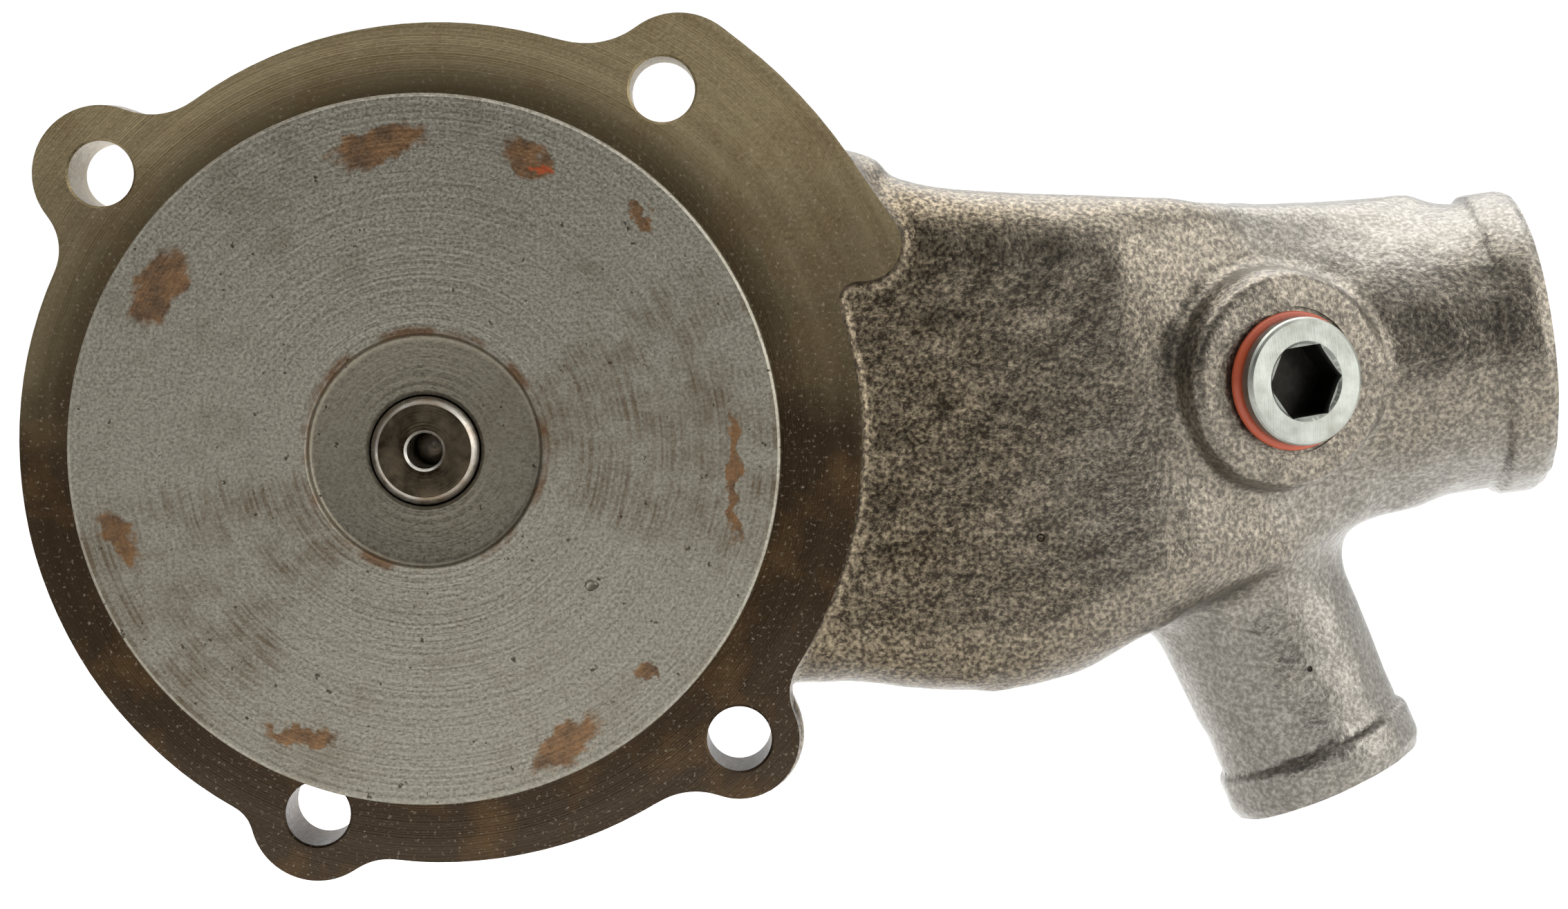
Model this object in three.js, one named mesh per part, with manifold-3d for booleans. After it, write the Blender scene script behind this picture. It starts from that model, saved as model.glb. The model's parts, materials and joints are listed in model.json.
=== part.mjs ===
// Coolant pump of a tractor or industrial diesel engine, in millimetres.
//
// The pump is described lying on its back: local z is the shaft's axis and points into the engine,
// z = 0 is the machined face that bolts to the engine, x points along the suction arm and y points up.
// The group that is exported turns this so that +Z is up and the engine lies towards -Y. The origin is
// where the shaft's axis crosses the engine face.
import * as THREE from "three";
import { mergeVertices } from "three/addons/utils/BufferGeometryUtils.js";
import Module from "manifold-3d";

const wasm = await Module();
wasm.setup();

// ---- driving dimensions -------------------------------------------------------------------------

const GAP = 0.3; // between pieces that touch or are pressed together
const ROUND = 32; // facets of a turned piece
const FINE = 48; // facets of the largest turned pieces

const FLANGE_THICK = 13;
const SPOT_FACE = 0.7; // depth machined into the boss under the washer
const RIM = { x: 1.7, y: 0.45, r: 71 }; // the flange's round rim, cast a little off the shaft's axis
const PORT_RIM_R = 86; // the wider rim over the engine's coolant port, about the shaft's axis
const BOLT_HOLE_R = 5.5; // clears an M10 bolt
const BOLT_CIRCLE_R = 71.85; // three of the bolts lie on it
const INNER_BOLT_R = 65.2; // the fourth lies closer in
const BOLT_ANGLES = [140.1, 57, 316.4]; // degrees
const INNER_BOLT_ANGLE = 252.6;
const BOLT_PAD_R = 10.5;
const BOLT_PAD_Z = -16;
const PORT_EAR = { angle: 55.5, r: 12, proud: 0.1 }; // ear round the bolt over the coolant port
const CORNER_EAR = { x: 73, y: 34.4, r: 6.4 }; // blunt corner of the flange above the arm

const EYE_R = 33; // suction opening in the flange
const EYE_WALL = 8; // thickness of the flange's wall round the eye
const CHAMBER_R = 44;
const CHAMBER_Z = -44; // floor of the suction chamber
const CHAMBER_WALL = 6.5;

const SNOUT_R = 27; // bearing housing
const SNOUT_Z = -99;
const BEARING_R = 19.05; // outer ring, 38.1 mm across
const BEARING_Z = [-57, -95];
const SEAL_BORE_R = 19;
const SEAL_COLLAR = { r: 25, z: -36 };
const WEEP_CHAMBER = { r: 17, z: -48 };
const WEEP_HOLE_R = 2.5;
const RIBS = { angles: [70, 145, 215, 290], thick: 7, inner: 20, z: [-40, -88] }; // between bowl and snout

const ARM_FACE_Z = -7; // flat face of the suction arm, on the engine's side
const ARM_BACK_Z = -66;
const ARM_WALL = 6;
const ARM_ROUND = 12; // radius along the arm's edges
const DUCT_ROUND = 5; // the same inside the arm
const PIPE_Z = -42; // both hose pipes' axes lie at this depth
const RADIATOR_PIPE = { x: 190.7, y: 17, angle: 7.2, r: 26.3, bead: 27.6, bore: 21.4, back: 62 };
const BYPASS_PIPE = { x: 158.5, y: -59.6, angle: -65.4, r: 17.5, bead: 18.7, bore: 13, back: 44 };
const BEAD_HALF = 3.2; // half the width of a hose pipe's end bead
// Planes on which the arm's face falls off, from a point on the face. Lean and bearing are in degrees.
const SLOPES = [
  { x: 124, y: 14, lean: 33, bearing: 10 }, // towards the radiator pipe
  { x: 117, y: 37, lean: 35, bearing: 45 }, // towards the arm's upper corner
];
const SLOPE_BLOCK = 140; // side of the block that cuts a slope

const BOSS = { x: 147, y: 11, z: -8.5, r: 19, tilt: 20, deep: 16 };
const PLUG = { head: 11, headHigh: 3, shank: 8, long: 15, hex: 12, socket: 7.5 };
const WASHER = { r: 12, thick: 2 };

const SHAFT_R = 9.525; // 19.05 mm spindle
const SHAFT_SEAT_R = 9; // where the impeller is pressed on
const SHAFT_Z = [10.9, -119]; // inner and front ends
const IMPELLER_R = 59;
const IMPELLER_TOP = 11.5; // the disc's face, inside the engine
const IMPELLER_DISC = 5;
const IMPELLER_HUB = { r: 17, z: -15.5 };
const IMPELLER_RECESS = { r: 20, deep: 1.4 };
const VANES = { count: 7, thick: 4, inner: 31, sweep: 48, lean: 35 }; // angles in degrees
const VANE_CLEARANCE = 0.8;

const BALLS = { count: 8, r: 3.175, pitch: 11.9, z: -66 };
const ROLLERS = { count: 8, r: 2.25, pitch: SHAFT_R + 2.25 + GAP / 2, long: 12, z: -83 };
const HUB = { flange: 37, boss: 18, z: [-101.5, -118], thick: 8, pilot: 15, screw: 3.4, circle: 27 };

// ---- materials ----------------------------------------------------------------------------------

const paint = (color, roughness, metalness) =>
  new THREE.MeshStandardMaterial({ color, roughness, metalness });
const CAST_IRON = paint(0x6f675c, 0.62, 0.75);
const TURNED_IRON = paint(0x85837c, 0.45, 0.85);
const STEEL = paint(0x9a9a98, 0.3, 1);
const ZINC = paint(0x9fa6a2, 0.35, 0.9);
const SEALING_RED = paint(0xb5482a, 0.5, 0.4);
const RUBBER = paint(0x1c1c1d, 0.85, 0);
const BRASS = paint(0xb08d45, 0.4, 0.9);
const CERAMIC = paint(0xe6e2d8, 0.3, 0);
const CARBON = paint(0x2b2b2d, 0.5, 0.1);
const CAGE_PLASTIC = paint(0x6b4a2a, 0.6, 0);

// ---- solids -------------------------------------------------------------------------------------

/** A closed three.js geometry as a manifold-3d solid with its faces pointing out. */
function solidOf(geometry) {
  const bare = geometry.index ? geometry.toNonIndexed() : geometry.clone();
  bare.deleteAttribute("normal");
  bare.deleteAttribute("uv");
  const merged = mergeVertices(bare, 1e-4);
  const triangles = [];
  for (let i = 0; i < merged.index.count; i += 3) {
    const [a, b, c] = [0, 1, 2].map((k) => merged.index.getX(i + k));
    if (a !== b && b !== c && a !== c) triangles.push(a, b, c);
  }
  const vertProperties = merged.attributes.position.array;
  const make = (triVerts) => new wasm.Manifold(new wasm.Mesh({ numProp: 3, vertProperties, triVerts }));
  const solid = make(new Uint32Array(triangles));
  return solid.volume() > 0 ? solid : make(new Uint32Array(triangles.reverse()));
}

/** A solid as a geometry for a THREE.Mesh. */
function geometryOf(solid) {
  const mesh = solid.getMesh();
  const geometry = new THREE.BufferGeometry();
  geometry.setAttribute("position", new THREE.BufferAttribute(mesh.vertProperties, 3));
  geometry.setIndex(new THREE.BufferAttribute(mesh.triVerts, 1));
  geometry.computeVertexNormals();
  return geometry;
}

const joined = (solids) => solids.reduce((all, solid) => all.add(solid));
const radians = (degrees) => THREE.MathUtils.degToRad(degrees);
const polar = (r, degrees) => ({ x: r * Math.cos(radians(degrees)), y: r * Math.sin(radians(degrees)) });

/** [radius, z] points along an arc of a profile, from one angle to another in degrees. */
function arc(r, z, radius, from, to, steps = 4) {
  return Array.from({ length: steps + 1 }, (_, i) => {
    const a = radians(from + ((to - from) * i) / steps);
    return [r + radius * Math.cos(a), z + radius * Math.sin(a)];
  });
}

/** Turns [radius, z] points about the z axis. The profile is closed for it. */
function turned(profile, facets = ROUND) {
  const points = profile.map(([r, z]) => new THREE.Vector2(r, z));
  points.push(points[0].clone());
  return solidOf(new THREE.LatheGeometry(points, facets).rotateX(Math.PI / 2));
}

/** A turned rod or tube from z0 to z1. */
function rod(r, z0, z1, facets = ROUND, bore = 0) {
  return turned([[bore, z0], [r, z0], [r, z1], [bore, z1]], facets);
}

/** An outline pulled along z, from z0 up to z1, with its edges rounded by `round`. */
function pulled(shape, z0, z1, round = 0, curveSegments = 4) {
  const geometry = new THREE.ExtrudeGeometry(shape, {
    depth: z1 - z0 - 2 * round,
    bevelEnabled: round > 0,
    bevelThickness: round,
    bevelSize: round,
    bevelOffset: -round,
    bevelSegments: 3,
    curveSegments,
  });
  return solidOf(geometry.translate(0, 0, z0 + round));
}

/** A solid built along z, put where its z axis leaves `at` in the direction `towards`. */
function aimed(solid, at, towards) {
  const up = new THREE.Vector3(0, 0, 1);
  const turn = new THREE.Quaternion().setFromUnitVectors(up, towards.clone().normalize());
  const matrix = new THREE.Matrix4().compose(at, turn, new THREE.Vector3(1, 1, 1));
  return solid.transform(matrix.elements);
}

// ---- outlines -----------------------------------------------------------------------------------

/**
 * One outline round several circles, listed counter-clockwise. `next` says how a circle meets the one
 * after it: a number is the radius of the hollow fillet between them, and "line" is their common tangent.
 */
function outlineOf(circles) {
  const angle = (from, to) => Math.atan2(to.y - from.y, to.x - from.x);
  const joints = circles.map((a, i) => {
    const b = circles[(i + 1) % circles.length];
    const apart = Math.hypot(b.x - a.x, b.y - a.y);
    if (a.next === "line") {
      const normal = angle(a, b) - Math.acos((a.r - b.r) / apart);
      return { leave: normal, enter: normal };
    }
    const [near, far] = [a.r + a.next, b.r + a.next];
    const open = Math.acos((near * near + apart * apart - far * far) / (2 * near * apart));
    const bearing = angle(a, b) - open;
    const hollow = { x: a.x + near * Math.cos(bearing), y: a.y + near * Math.sin(bearing), r: a.next };
    return { leave: bearing, enter: angle(b, hollow), hollow, from: angle(hollow, a), to: angle(hollow, b) };
  });
  const shape = new THREE.Shape();
  circles.forEach((circle, i) => {
    const before = joints[(i + circles.length - 1) % circles.length];
    const { leave, hollow, from, to } = joints[i];
    shape.absarc(circle.x, circle.y, circle.r, before.enter, leave, false);
    if (hollow) shape.absarc(hollow.x, hollow.y, hollow.r, from, to, true);
  });
  return shape;
}

/** The flange: a round rim with an ear at each bolt and a wide lobe over the engine's coolant port. */
function flangeOutline() {
  const [earA, , earD] = BOLT_ANGLES.map((a) => polar(BOLT_CIRCLE_R, a));
  const earC = polar(INNER_BOLT_R, INNER_BOLT_ANGLE);
  const portEar = polar(PORT_RIM_R - PORT_EAR.r + PORT_EAR.proud, PORT_EAR.angle);
  return outlineOf([
    { ...RIM, next: 3.5 },
    { ...CORNER_EAR, next: "line" },
    { x: 0, y: 0, r: PORT_RIM_R, next: "line" },
    { ...portEar, r: PORT_EAR.r, next: 14 },
    { ...RIM, next: 12 },
    { ...earA, r: 11.5, next: 9 },
    { ...RIM, next: 6 },
    { ...earC, r: 11.5, next: 10 },
    { ...RIM, next: 12 },
    { ...earD, r: 10.3, next: 8 },
  ]);
}

/** The suction arm seen along the shaft, from inside the chamber out to the roots of the hose pipes. */
function armPoints() {
  const below = [[28, -47], [64, -42], [82, -43.7], [98, -44.5]];
  const belowPipe = [[112, -41.5], [128, -32.5], [146, -21], [173, -9.5]];
  const above = [[173, 39.5], [150, 41], [128, 42.9], [100, 43.7], [84, 45.5], [70, 51.5], [28, 56]];
  return [...below, ...belowPipe, ...above].map(([x, y]) => new THREE.Vector2(x, y));
}

/** Moves each corner of a counter-clockwise outline inwards by `wall`. */
function inset(points, wall) {
  return points.map((p, i) => {
    const before = p.clone().sub(points.at(i - 1)).normalize();
    const after = points[(i + 1) % points.length].clone().sub(p).normalize();
    const inwards = new THREE.Vector2(-before.y - after.y, before.x + after.x).normalize();
    const slant = inwards.dot(new THREE.Vector2(-before.y, before.x));
    return p.clone().addScaledVector(inwards, wall / slant);
  });
}

// ---- pump housing -------------------------------------------------------------------------------

const pipeAt = (pipe) => new THREE.Vector3(pipe.x, pipe.y, PIPE_Z);
const pipeDirection = (pipe) => {
  const { x, y } = polar(1, pipe.angle);
  return new THREE.Vector3(x, y, 0);
};
const BOSS_AXIS = new THREE.Vector3(Math.sin(radians(BOSS.tilt)), 0, Math.cos(radians(BOSS.tilt)));
const BOSS_AT = new THREE.Vector3(BOSS.x, BOSS.y, BOSS.z);

/** A hose pipe with a rounded bead at its mouth, from inside the arm outwards. */
function hosePipe(pipe) {
  const bead = arc(pipe.bead - BEAD_HALF, 0, BEAD_HALF, -60, 90, 5);
  const profile = [[0, -pipe.back], [pipe.r, -pipe.back], [pipe.r, -BEAD_HALF], ...bead, [0, BEAD_HALF]];
  return aimed(turned(profile), pipeAt(pipe), pipeDirection(pipe));
}

const pipeBore = (pipe) =>
  aimed(rod(pipe.bore, -pipe.back - 4, BEAD_HALF + 5), pipeAt(pipe), pipeDirection(pipe));

/** Every bolt's position on the flange. */
function boltPositions() {
  return [...BOLT_ANGLES.map((a) => polar(BOLT_CIRCLE_R, a)), polar(INNER_BOLT_R, INNER_BOLT_ANGLE)];
}

/** Everything above the arm's slopes, or above planes `deep` under them. */
function aboveSlopes(deep = 0) {
  return joined(
    SLOPES.map(({ x, y, lean, bearing }) => {
      const block = new THREE.BoxGeometry(SLOPE_BLOCK, SLOPE_BLOCK, SLOPE_BLOCK);
      block.translate(0, 0, SLOPE_BLOCK / 2 - deep).rotateY(radians(lean)).rotateZ(radians(bearing));
      return solidOf(block.translate(x, y, ARM_FACE_Z));
    }),
  );
}

/** The arm's closed body, with the slopes on which the plug's boss stands. */
function armBody() {
  const body = pulled(new THREE.Shape(armPoints()), ARM_BACK_Z, ARM_FACE_Z, ARM_ROUND, 1);
  return body.subtract(aboveSlopes());
}

/** A plate that stiffens the snout, on the bearing of `degrees` from the arm. */
function rib(degrees) {
  const [top, bottom] = RIBS.z;
  const side = new THREE.Shape();
  side.moveTo(RIBS.inner, top);
  side.lineTo(CHAMBER_R + 3, top);
  side.lineTo(SNOUT_R - 1, bottom);
  side.lineTo(RIBS.inner, bottom);
  const plate = new THREE.ExtrudeGeometry(side, { depth: RIBS.thick, bevelEnabled: false });
  plate.translate(0, 0, -RIBS.thick / 2).rotateX(Math.PI / 2).rotateZ(radians(degrees));
  return solidOf(plate);
}

/** All the iron outside the passages. */
function castOutside() {
  const bowl = turned(
    [
      [0, -6],
      [CHAMBER_R + CHAMBER_WALL + 2, -6],
      [CHAMBER_R + CHAMBER_WALL, -34],
      ...arc(CHAMBER_R - 7, -38, 13, 18, -72),
      [SNOUT_R + 4, -54],
      [SNOUT_R, -60],
      ...arc(SNOUT_R - 2, SNOUT_Z + 2, 2, 0, -90, 2),
      [0, SNOUT_Z],
    ],
    FINE,
  );
  const pads = boltPositions().map(({ x, y }) => rod(BOLT_PAD_R, BOLT_PAD_Z, -6, 24).translate(x, y, 0));
  const boss = turned(
    [[0, -BOSS.deep], [BOSS.r + 2, -BOSS.deep], [BOSS.r, -3], ...arc(BOSS.r - 2, -2, 2, 0, 90, 3), [0, 0]],
    36,
  );
  return joined([
    pulled(flangeOutline(), -FLANGE_THICK, 0),
    bowl,
    armBody(),
    hosePipe(RADIATOR_PIPE),
    hosePipe(BYPASS_PIPE),
    aimed(boss, BOSS_AT, BOSS_AXIS),
    ...pads,
    ...RIBS.angles.map(rib),
  ]);
}

/** The coolant's way from the hose pipes to the eye of the impeller. */
function coolantPassage() {
  const inside = new THREE.Shape(inset(armPoints(), ARM_WALL));
  const arm = pulled(inside, ARM_BACK_Z + ARM_WALL, ARM_FACE_Z - ARM_WALL, DUCT_ROUND, 1);
  const bowl = [
    [0, -EYE_WALL],
    [CHAMBER_R, -EYE_WALL],
    [CHAMBER_R, CHAMBER_Z + 8],
    [CHAMBER_R - 8, CHAMBER_Z],
    [0, CHAMBER_Z],
  ];
  return joined([
    arm.subtract(aboveSlopes(ARM_WALL)),
    turned(bowl, FINE),
    rod(EYE_R, -EYE_WALL - 1, 1, FINE),
    pipeBore(RADIATOR_PIPE),
    pipeBore(BYPASS_PIPE),
  ]);
}

function pumpHousing() {
  const weepZ = (WEEP_CHAMBER.z + BEARING_Z[0]) / 2;
  const weepHole = new THREE.CylinderGeometry(WEEP_HOLE_R, WEEP_HOLE_R, 40, 16).translate(0, -30, weepZ);
  const holes = [
    ...boltPositions().map(({ x, y }) => rod(BOLT_HOLE_R, BOLT_PAD_Z - 20, 1, 24).translate(x, y, 0)),
    rod(SEAL_BORE_R, WEEP_CHAMBER.z, SEAL_COLLAR.z + 1),
    rod(WEEP_CHAMBER.r, BEARING_Z[0] - 1, WEEP_CHAMBER.z + 1),
    rod(BEARING_R + GAP / 2, SNOUT_Z - 1, BEARING_Z[0]),
    rod(BEARING_R + 1.4, BEARING_Z[1] - 2.4, BEARING_Z[1]), // groove of the retaining ring
    aimed(rod(PLUG.shank + GAP, -BOSS.deep - 12, 1, 24), BOSS_AT, BOSS_AXIS),
    aimed(rod(WASHER.r + 0.8, -SPOT_FACE, 3, 36), BOSS_AT, BOSS_AXIS),
    solidOf(weepHole),
  ];
  const collar = rod(SEAL_COLLAR.r, CHAMBER_Z - 2, SEAL_COLLAR.z);
  return castOutside().subtract(coolantPassage()).add(collar).subtract(joined(holes));
}

// ---- rotating group -----------------------------------------------------------------------------

function pumpShaft() {
  const [top, bottom] = SHAFT_Z;
  const groove = arc(BALLS.pitch, BALLS.z, BALLS.r + 0.15, 135, 225, 5).filter(([r]) => r < SHAFT_R);
  return turned(
    [
      [0, top - 20],
      [3, top - 18],
      [3, top - 0.5],
      [3.5, top],
      [SHAFT_SEAT_R - 0.9, top],
      [SHAFT_SEAT_R, top - 0.9],
      [SHAFT_SEAT_R, IMPELLER_HUB.z],
      [SHAFT_R, IMPELLER_HUB.z],
      ...groove,
      [SHAFT_R, bottom + 1],
      [SHAFT_R - 1, bottom],
      [3, bottom],
      [3, bottom + 6],
      [0, bottom + 8],
    ],
    36,
  );
}

/** One backward-swept vane, from the eye out to the disc's edge. */
function vane(index) {
  const outer = IMPELLER_R - 1.5;
  const steps = 5;
  const at = (share, side) => {
    const bearing = (360 * index) / VANES.count - VANES.sweep * share;
    const { x, y } = polar(VANES.inner + (outer - VANES.inner) * share, bearing);
    const across = polar((side * VANES.thick) / 2, bearing + 90 - VANES.lean * share);
    return new THREE.Vector2(x + across.x, y + across.y);
  };
  const shares = Array.from({ length: steps + 1 }, (_, i) => i / steps);
  const outline = [...shares.map((s) => at(s, -1)), ...shares.reverse().map((s) => at(s, 1))];
  return pulled(new THREE.Shape(outline), VANE_CLEARANCE, IMPELLER_TOP - IMPELLER_DISC + 1);
}

function impeller() {
  const under = IMPELLER_TOP - IMPELLER_DISC;
  const bore = SHAFT_SEAT_R + GAP;
  const body = turned(
    [
      [bore, IMPELLER_TOP - IMPELLER_RECESS.deep - 0.6],
      [bore + 0.6, IMPELLER_TOP - IMPELLER_RECESS.deep],
      [IMPELLER_RECESS.r - 0.6, IMPELLER_TOP - IMPELLER_RECESS.deep],
      [IMPELLER_RECESS.r, IMPELLER_TOP],
      [IMPELLER_R - 0.7, IMPELLER_TOP],
      [IMPELLER_R, IMPELLER_TOP - 0.7],
      [IMPELLER_R, under],
      ...arc(IMPELLER_HUB.r + 10, under - 10, 10, 90, 180, 3),
      [IMPELLER_HUB.r, IMPELLER_HUB.z + 1],
      [IMPELLER_HUB.r - 1, IMPELLER_HUB.z + GAP],
      [bore, IMPELLER_HUB.z + GAP],
    ],
    FINE,
  );
  return joined([body, ...Array.from({ length: VANES.count }, (_, i) => vane(i))]);
}

/** The flange at the front end that carries the pulley and fan. */
function pulleyHub() {
  const [back, front] = HUB.z;
  const bore = SHAFT_R + GAP;
  const body = turned(
    [
      [bore, back],
      [HUB.boss - 1.5, back],
      [HUB.boss, back - 1.5],
      ...arc(HUB.boss + 3, front + HUB.thick + 3, 3, 180, 270, 2),
      [HUB.flange - 1, front + HUB.thick],
      [HUB.flange, front + HUB.thick - 1],
      [HUB.flange, front + 1],
      [HUB.flange - 1, front],
      [HUB.pilot, front],
      [HUB.pilot, front - 3],
      [bore, front - 3],
    ],
    FINE,
  );
  const screwHoles = [45, 135, 225, 315].map((a) => {
    const { x, y } = polar(HUB.circle, a);
    return rod(HUB.screw, front - 1, front + HUB.thick + 5, 20).translate(x, y, 0);
  });
  return body.subtract(joined(screwHoles));
}

/** Throws any coolant that passes the seal out to the weep hole. */
function slingerRing() {
  const bore = SHAFT_R + GAP;
  const skirt = [[12.4, -52], [15, -53.4], [14.7, -54.4], [11.6, -53.4]];
  return turned([[bore, -50.6], [11.2, -50.6], ...skirt, [bore, -54]]);
}

// ---- bearing ------------------------------------------------------------------------------------

const BEARING_LAND = 13.5; // bore of the outer ring between its tracks

function bearingOuterRing() {
  const [back, front] = BEARING_Z;
  const ballTrack = arc(BALLS.pitch, BALLS.z, BALLS.r + 0.15, 60, -60, 5);
  const rollerTrack = ROLLERS.pitch + ROLLERS.r + 0.15;
  return turned([
    [BEARING_R - 0.8, back - GAP],
    [BEARING_LAND + 0.3, back - GAP],
    ...ballTrack,
    [BEARING_LAND, ROLLERS.z + ROLLERS.long / 2 + 0.4],
    [rollerTrack, ROLLERS.z + ROLLERS.long / 2 + 0.4],
    [rollerTrack, ROLLERS.z - ROLLERS.long / 2 - 0.4],
    [BEARING_LAND, ROLLERS.z - ROLLERS.long / 2 - 0.4],
    [BEARING_LAND, front + GAP],
    [BEARING_R - 0.8, front + GAP],
    [BEARING_R - 0.15, front + 1],
    [BEARING_R - 0.15, back - 1],
  ]);
}

const bearingBall = (index) => {
  const { x, y } = polar(BALLS.pitch, (360 * index) / BALLS.count);
  return solidOf(new THREE.SphereGeometry(BALLS.r, 12, 8).rotateX(Math.PI / 2).translate(x, y, BALLS.z));
};

const bearingRoller = (index) => {
  const { x, y } = polar(ROLLERS.pitch, (360 * (index + 0.5)) / ROLLERS.count);
  const [end, r] = [ROLLERS.long / 2, ROLLERS.r];
  const profile = [[0, -end], [r - 0.3, -end], [r, -end + 0.3], [r, end - 0.3], [r - 0.3, end], [0, end]];
  return turned(profile, 12).translate(x, y, ROLLERS.z);
};

/** A ring with a pocket for each ball or roller. */
function cage(row, inner, outer, half, pocket) {
  const ring = rod(outer, row.z - half, row.z + half, ROUND, inner);
  const pockets = Array.from({ length: row.count }, (_, i) => pocket(i));
  return ring.subtract(joined(pockets));
}

function ballCage() {
  return cage(BALLS, 11, 12.9, 4.6, (i) => {
    const pocket = new THREE.CylinderGeometry(BALLS.r + GAP, BALLS.r + GAP, 8, 12).rotateZ(Math.PI / 2);
    pocket.translate(BALLS.pitch, 0, BALLS.z).rotateZ(radians((360 * i) / BALLS.count));
    return solidOf(pocket);
  });
}

function rollerCage() {
  return cage(ROLLERS, 10.9, 12.9, 8.2, (i) => {
    const { x, y } = polar(ROLLERS.pitch, (360 * (i + 0.5)) / ROLLERS.count);
    const half = ROLLERS.long / 2 + GAP;
    return rod(ROLLERS.r + 0.25, -half, half, 12).translate(x, y, ROLLERS.z);
  });
}

const bearingSeal = (z0, z1) => rod(BEARING_LAND - 0.2, z0, z1, ROUND, SHAFT_R + GAP);

/** A spring-steel ring with a gap and an eye at each end, in the snout's groove. */
function retainingRing() {
  const z = BEARING_Z[1] - 0.3;
  const ring = rod(BEARING_R + 1.1, z - 1.6, z, ROUND, BEARING_R - 2.2);
  const opening = new THREE.BoxGeometry(14, 12, 8).translate(0, -BEARING_R, z - 1);
  const eye = rod(2.4, z - 1.6, z, 16, 1.1).translate(0, -BEARING_R + 4.6, 0);
  const eyes = [-8.2, 8.2].map((x) => eye.translate(x, 0, 0));
  return joined([ring.subtract(solidOf(opening)), ...eyes]);
}

// ---- mechanical seal ----------------------------------------------------------------------------

const sealSeatRing = () => rod(15.4, -24.6, -20.2, ROUND, 10.8);

function sealSeatCup() {
  const bore = SHAFT_R + GAP;
  return turned([[bore, -16], [17, -16], [17, -23], [15.7, -23], [15.7, -19.9], [bore, -19.9]]);
}

const sealCarbonRing = () =>
  turned([[11.2, -24.9], [13.6, -24.9], [13.6, -26.6], [15.2, -26.6], [15.2, -29], [11.2, -29]]);

const sealBellows = () =>
  turned([
    [11.2, -29.3],
    [13.4, -29.3],
    [13.4, -31.5],
    [12.6, -33],
    [14, -35],
    [16.4, -38],
    [17.2, -41.5],
    [16.2, -41.5],
    [15, -38.4],
    [12.6, -35.6],
    [11.4, -33.2],
    [11.2, -31],
  ]);

const sealCup = () =>
  turned([
    [SEAL_BORE_R - 0.2, -35.2],
    [20.6, -35.2],
    [20.6, -34.4],
    [SEAL_BORE_R - 1.2, -34.4],
    [SEAL_BORE_R - 1.2, -43],
    [12.2, -43],
    [12.2, -44],
    [SEAL_BORE_R - 0.2, -44],
  ]);

/** The spring that presses the carbon ring on its seat, wound round the bellows. */
function sealSpring() {
  const [coil, wire, turns, from, to] = [15.6, 0.55, 3.5, -30, -35.5];
  const steps = 42;
  const path = Array.from({ length: steps + 1 }, (_, i) => {
    const { x, y } = polar(coil, (360 * turns * i) / steps);
    return new THREE.Vector3(x, y, from + ((to - from) * i) / steps);
  });
  const section = new THREE.Shape().absarc(0, 0, wire, 0, 2 * Math.PI, false);
  const extrudePath = new THREE.CatmullRomCurve3(path);
  const options = { steps, extrudePath, curveSegments: 3, bevelEnabled: false };
  return solidOf(new THREE.ExtrudeGeometry(section, options));
}

// ---- plug ---------------------------------------------------------------------------------------

/** Socket-head plug that closes the temperature sensor's port. */
function hexPlug() {
  const low = WASHER.thick - SPOT_FACE + 2 * GAP;
  const top = low + PLUG.headHigh;
  const body = turned([
    [0, low - PLUG.long],
    [PLUG.shank - 1, low - PLUG.long],
    [PLUG.shank, low - PLUG.long + 1],
    [PLUG.shank, low],
    [PLUG.head, low],
    [PLUG.head, top - 0.5],
    [PLUG.head - 0.5, top],
    [0, top],
  ]);
  const corner = PLUG.hex / Math.sqrt(3);
  const hexagon = new THREE.CylinderGeometry(corner, corner, PLUG.socket, 6).rotateX(Math.PI / 2);
  const cone = [[0, top - 0.9], [corner - 0.9, top - 0.9], [corner + 0.2, top + 0.2], [0, top + 0.2]];
  const countersink = turned(cone, 24);
  const socket = solidOf(hexagon.translate(0, 0, top - PLUG.socket / 2 + 0.2)).add(countersink);
  return aimed(body.subtract(socket), BOSS_AT, BOSS_AXIS);
}

function plugWasher() {
  const low = GAP - SPOT_FACE;
  const inner = PLUG.shank + GAP;
  const edge = WASHER.thick / 2;
  const rim = arc(WASHER.r - edge, low + edge, edge, -90, 90);
  const ring = turned([[inner, low], ...rim, [inner, low + WASHER.thick]]);
  return aimed(ring, BOSS_AT, BOSS_AXIS);
}

// ---- assembly -----------------------------------------------------------------------------------

const pump = new THREE.Group();
pump.rotation.x = Math.PI / 2; // local z, into the engine, becomes -Y, and local y becomes +Z

function add(name, solid, material) {
  const mesh = new THREE.Mesh(geometryOf(solid), material);
  mesh.name = name;
  pump.add(mesh);
}

add("pump_housing", pumpHousing(), CAST_IRON);
add("impeller", impeller(), TURNED_IRON);
add("pump_shaft", pumpShaft(), STEEL);
add("pulley_hub", pulleyHub(), TURNED_IRON);
add("slinger_ring", slingerRing(), BRASS);
add("bearing_outer_ring", bearingOuterRing(), STEEL);
add("bearing_seal_rear", bearingSeal(-59.6, -57.5), RUBBER);
add("bearing_seal_front", bearingSeal(-94.5, -92.4), RUBBER);
add("retaining_ring", retainingRing(), STEEL);
add("ball_cage", ballCage(), CAGE_PLASTIC);
add("roller_cage", rollerCage(), CAGE_PLASTIC);
for (let i = 0; i < BALLS.count; i++) add(`bearing_ball_${i + 1}`, bearingBall(i), STEEL);
for (let i = 0; i < ROLLERS.count; i++) add(`bearing_roller_${i + 1}`, bearingRoller(i), STEEL);
add("seal_seat_ring", sealSeatRing(), CERAMIC);
add("seal_seat_cup", sealSeatCup(), RUBBER);
add("seal_carbon_ring", sealCarbonRing(), CARBON);
add("seal_bellows", sealBellows(), RUBBER);
add("seal_spring", sealSpring(), STEEL);
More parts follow.
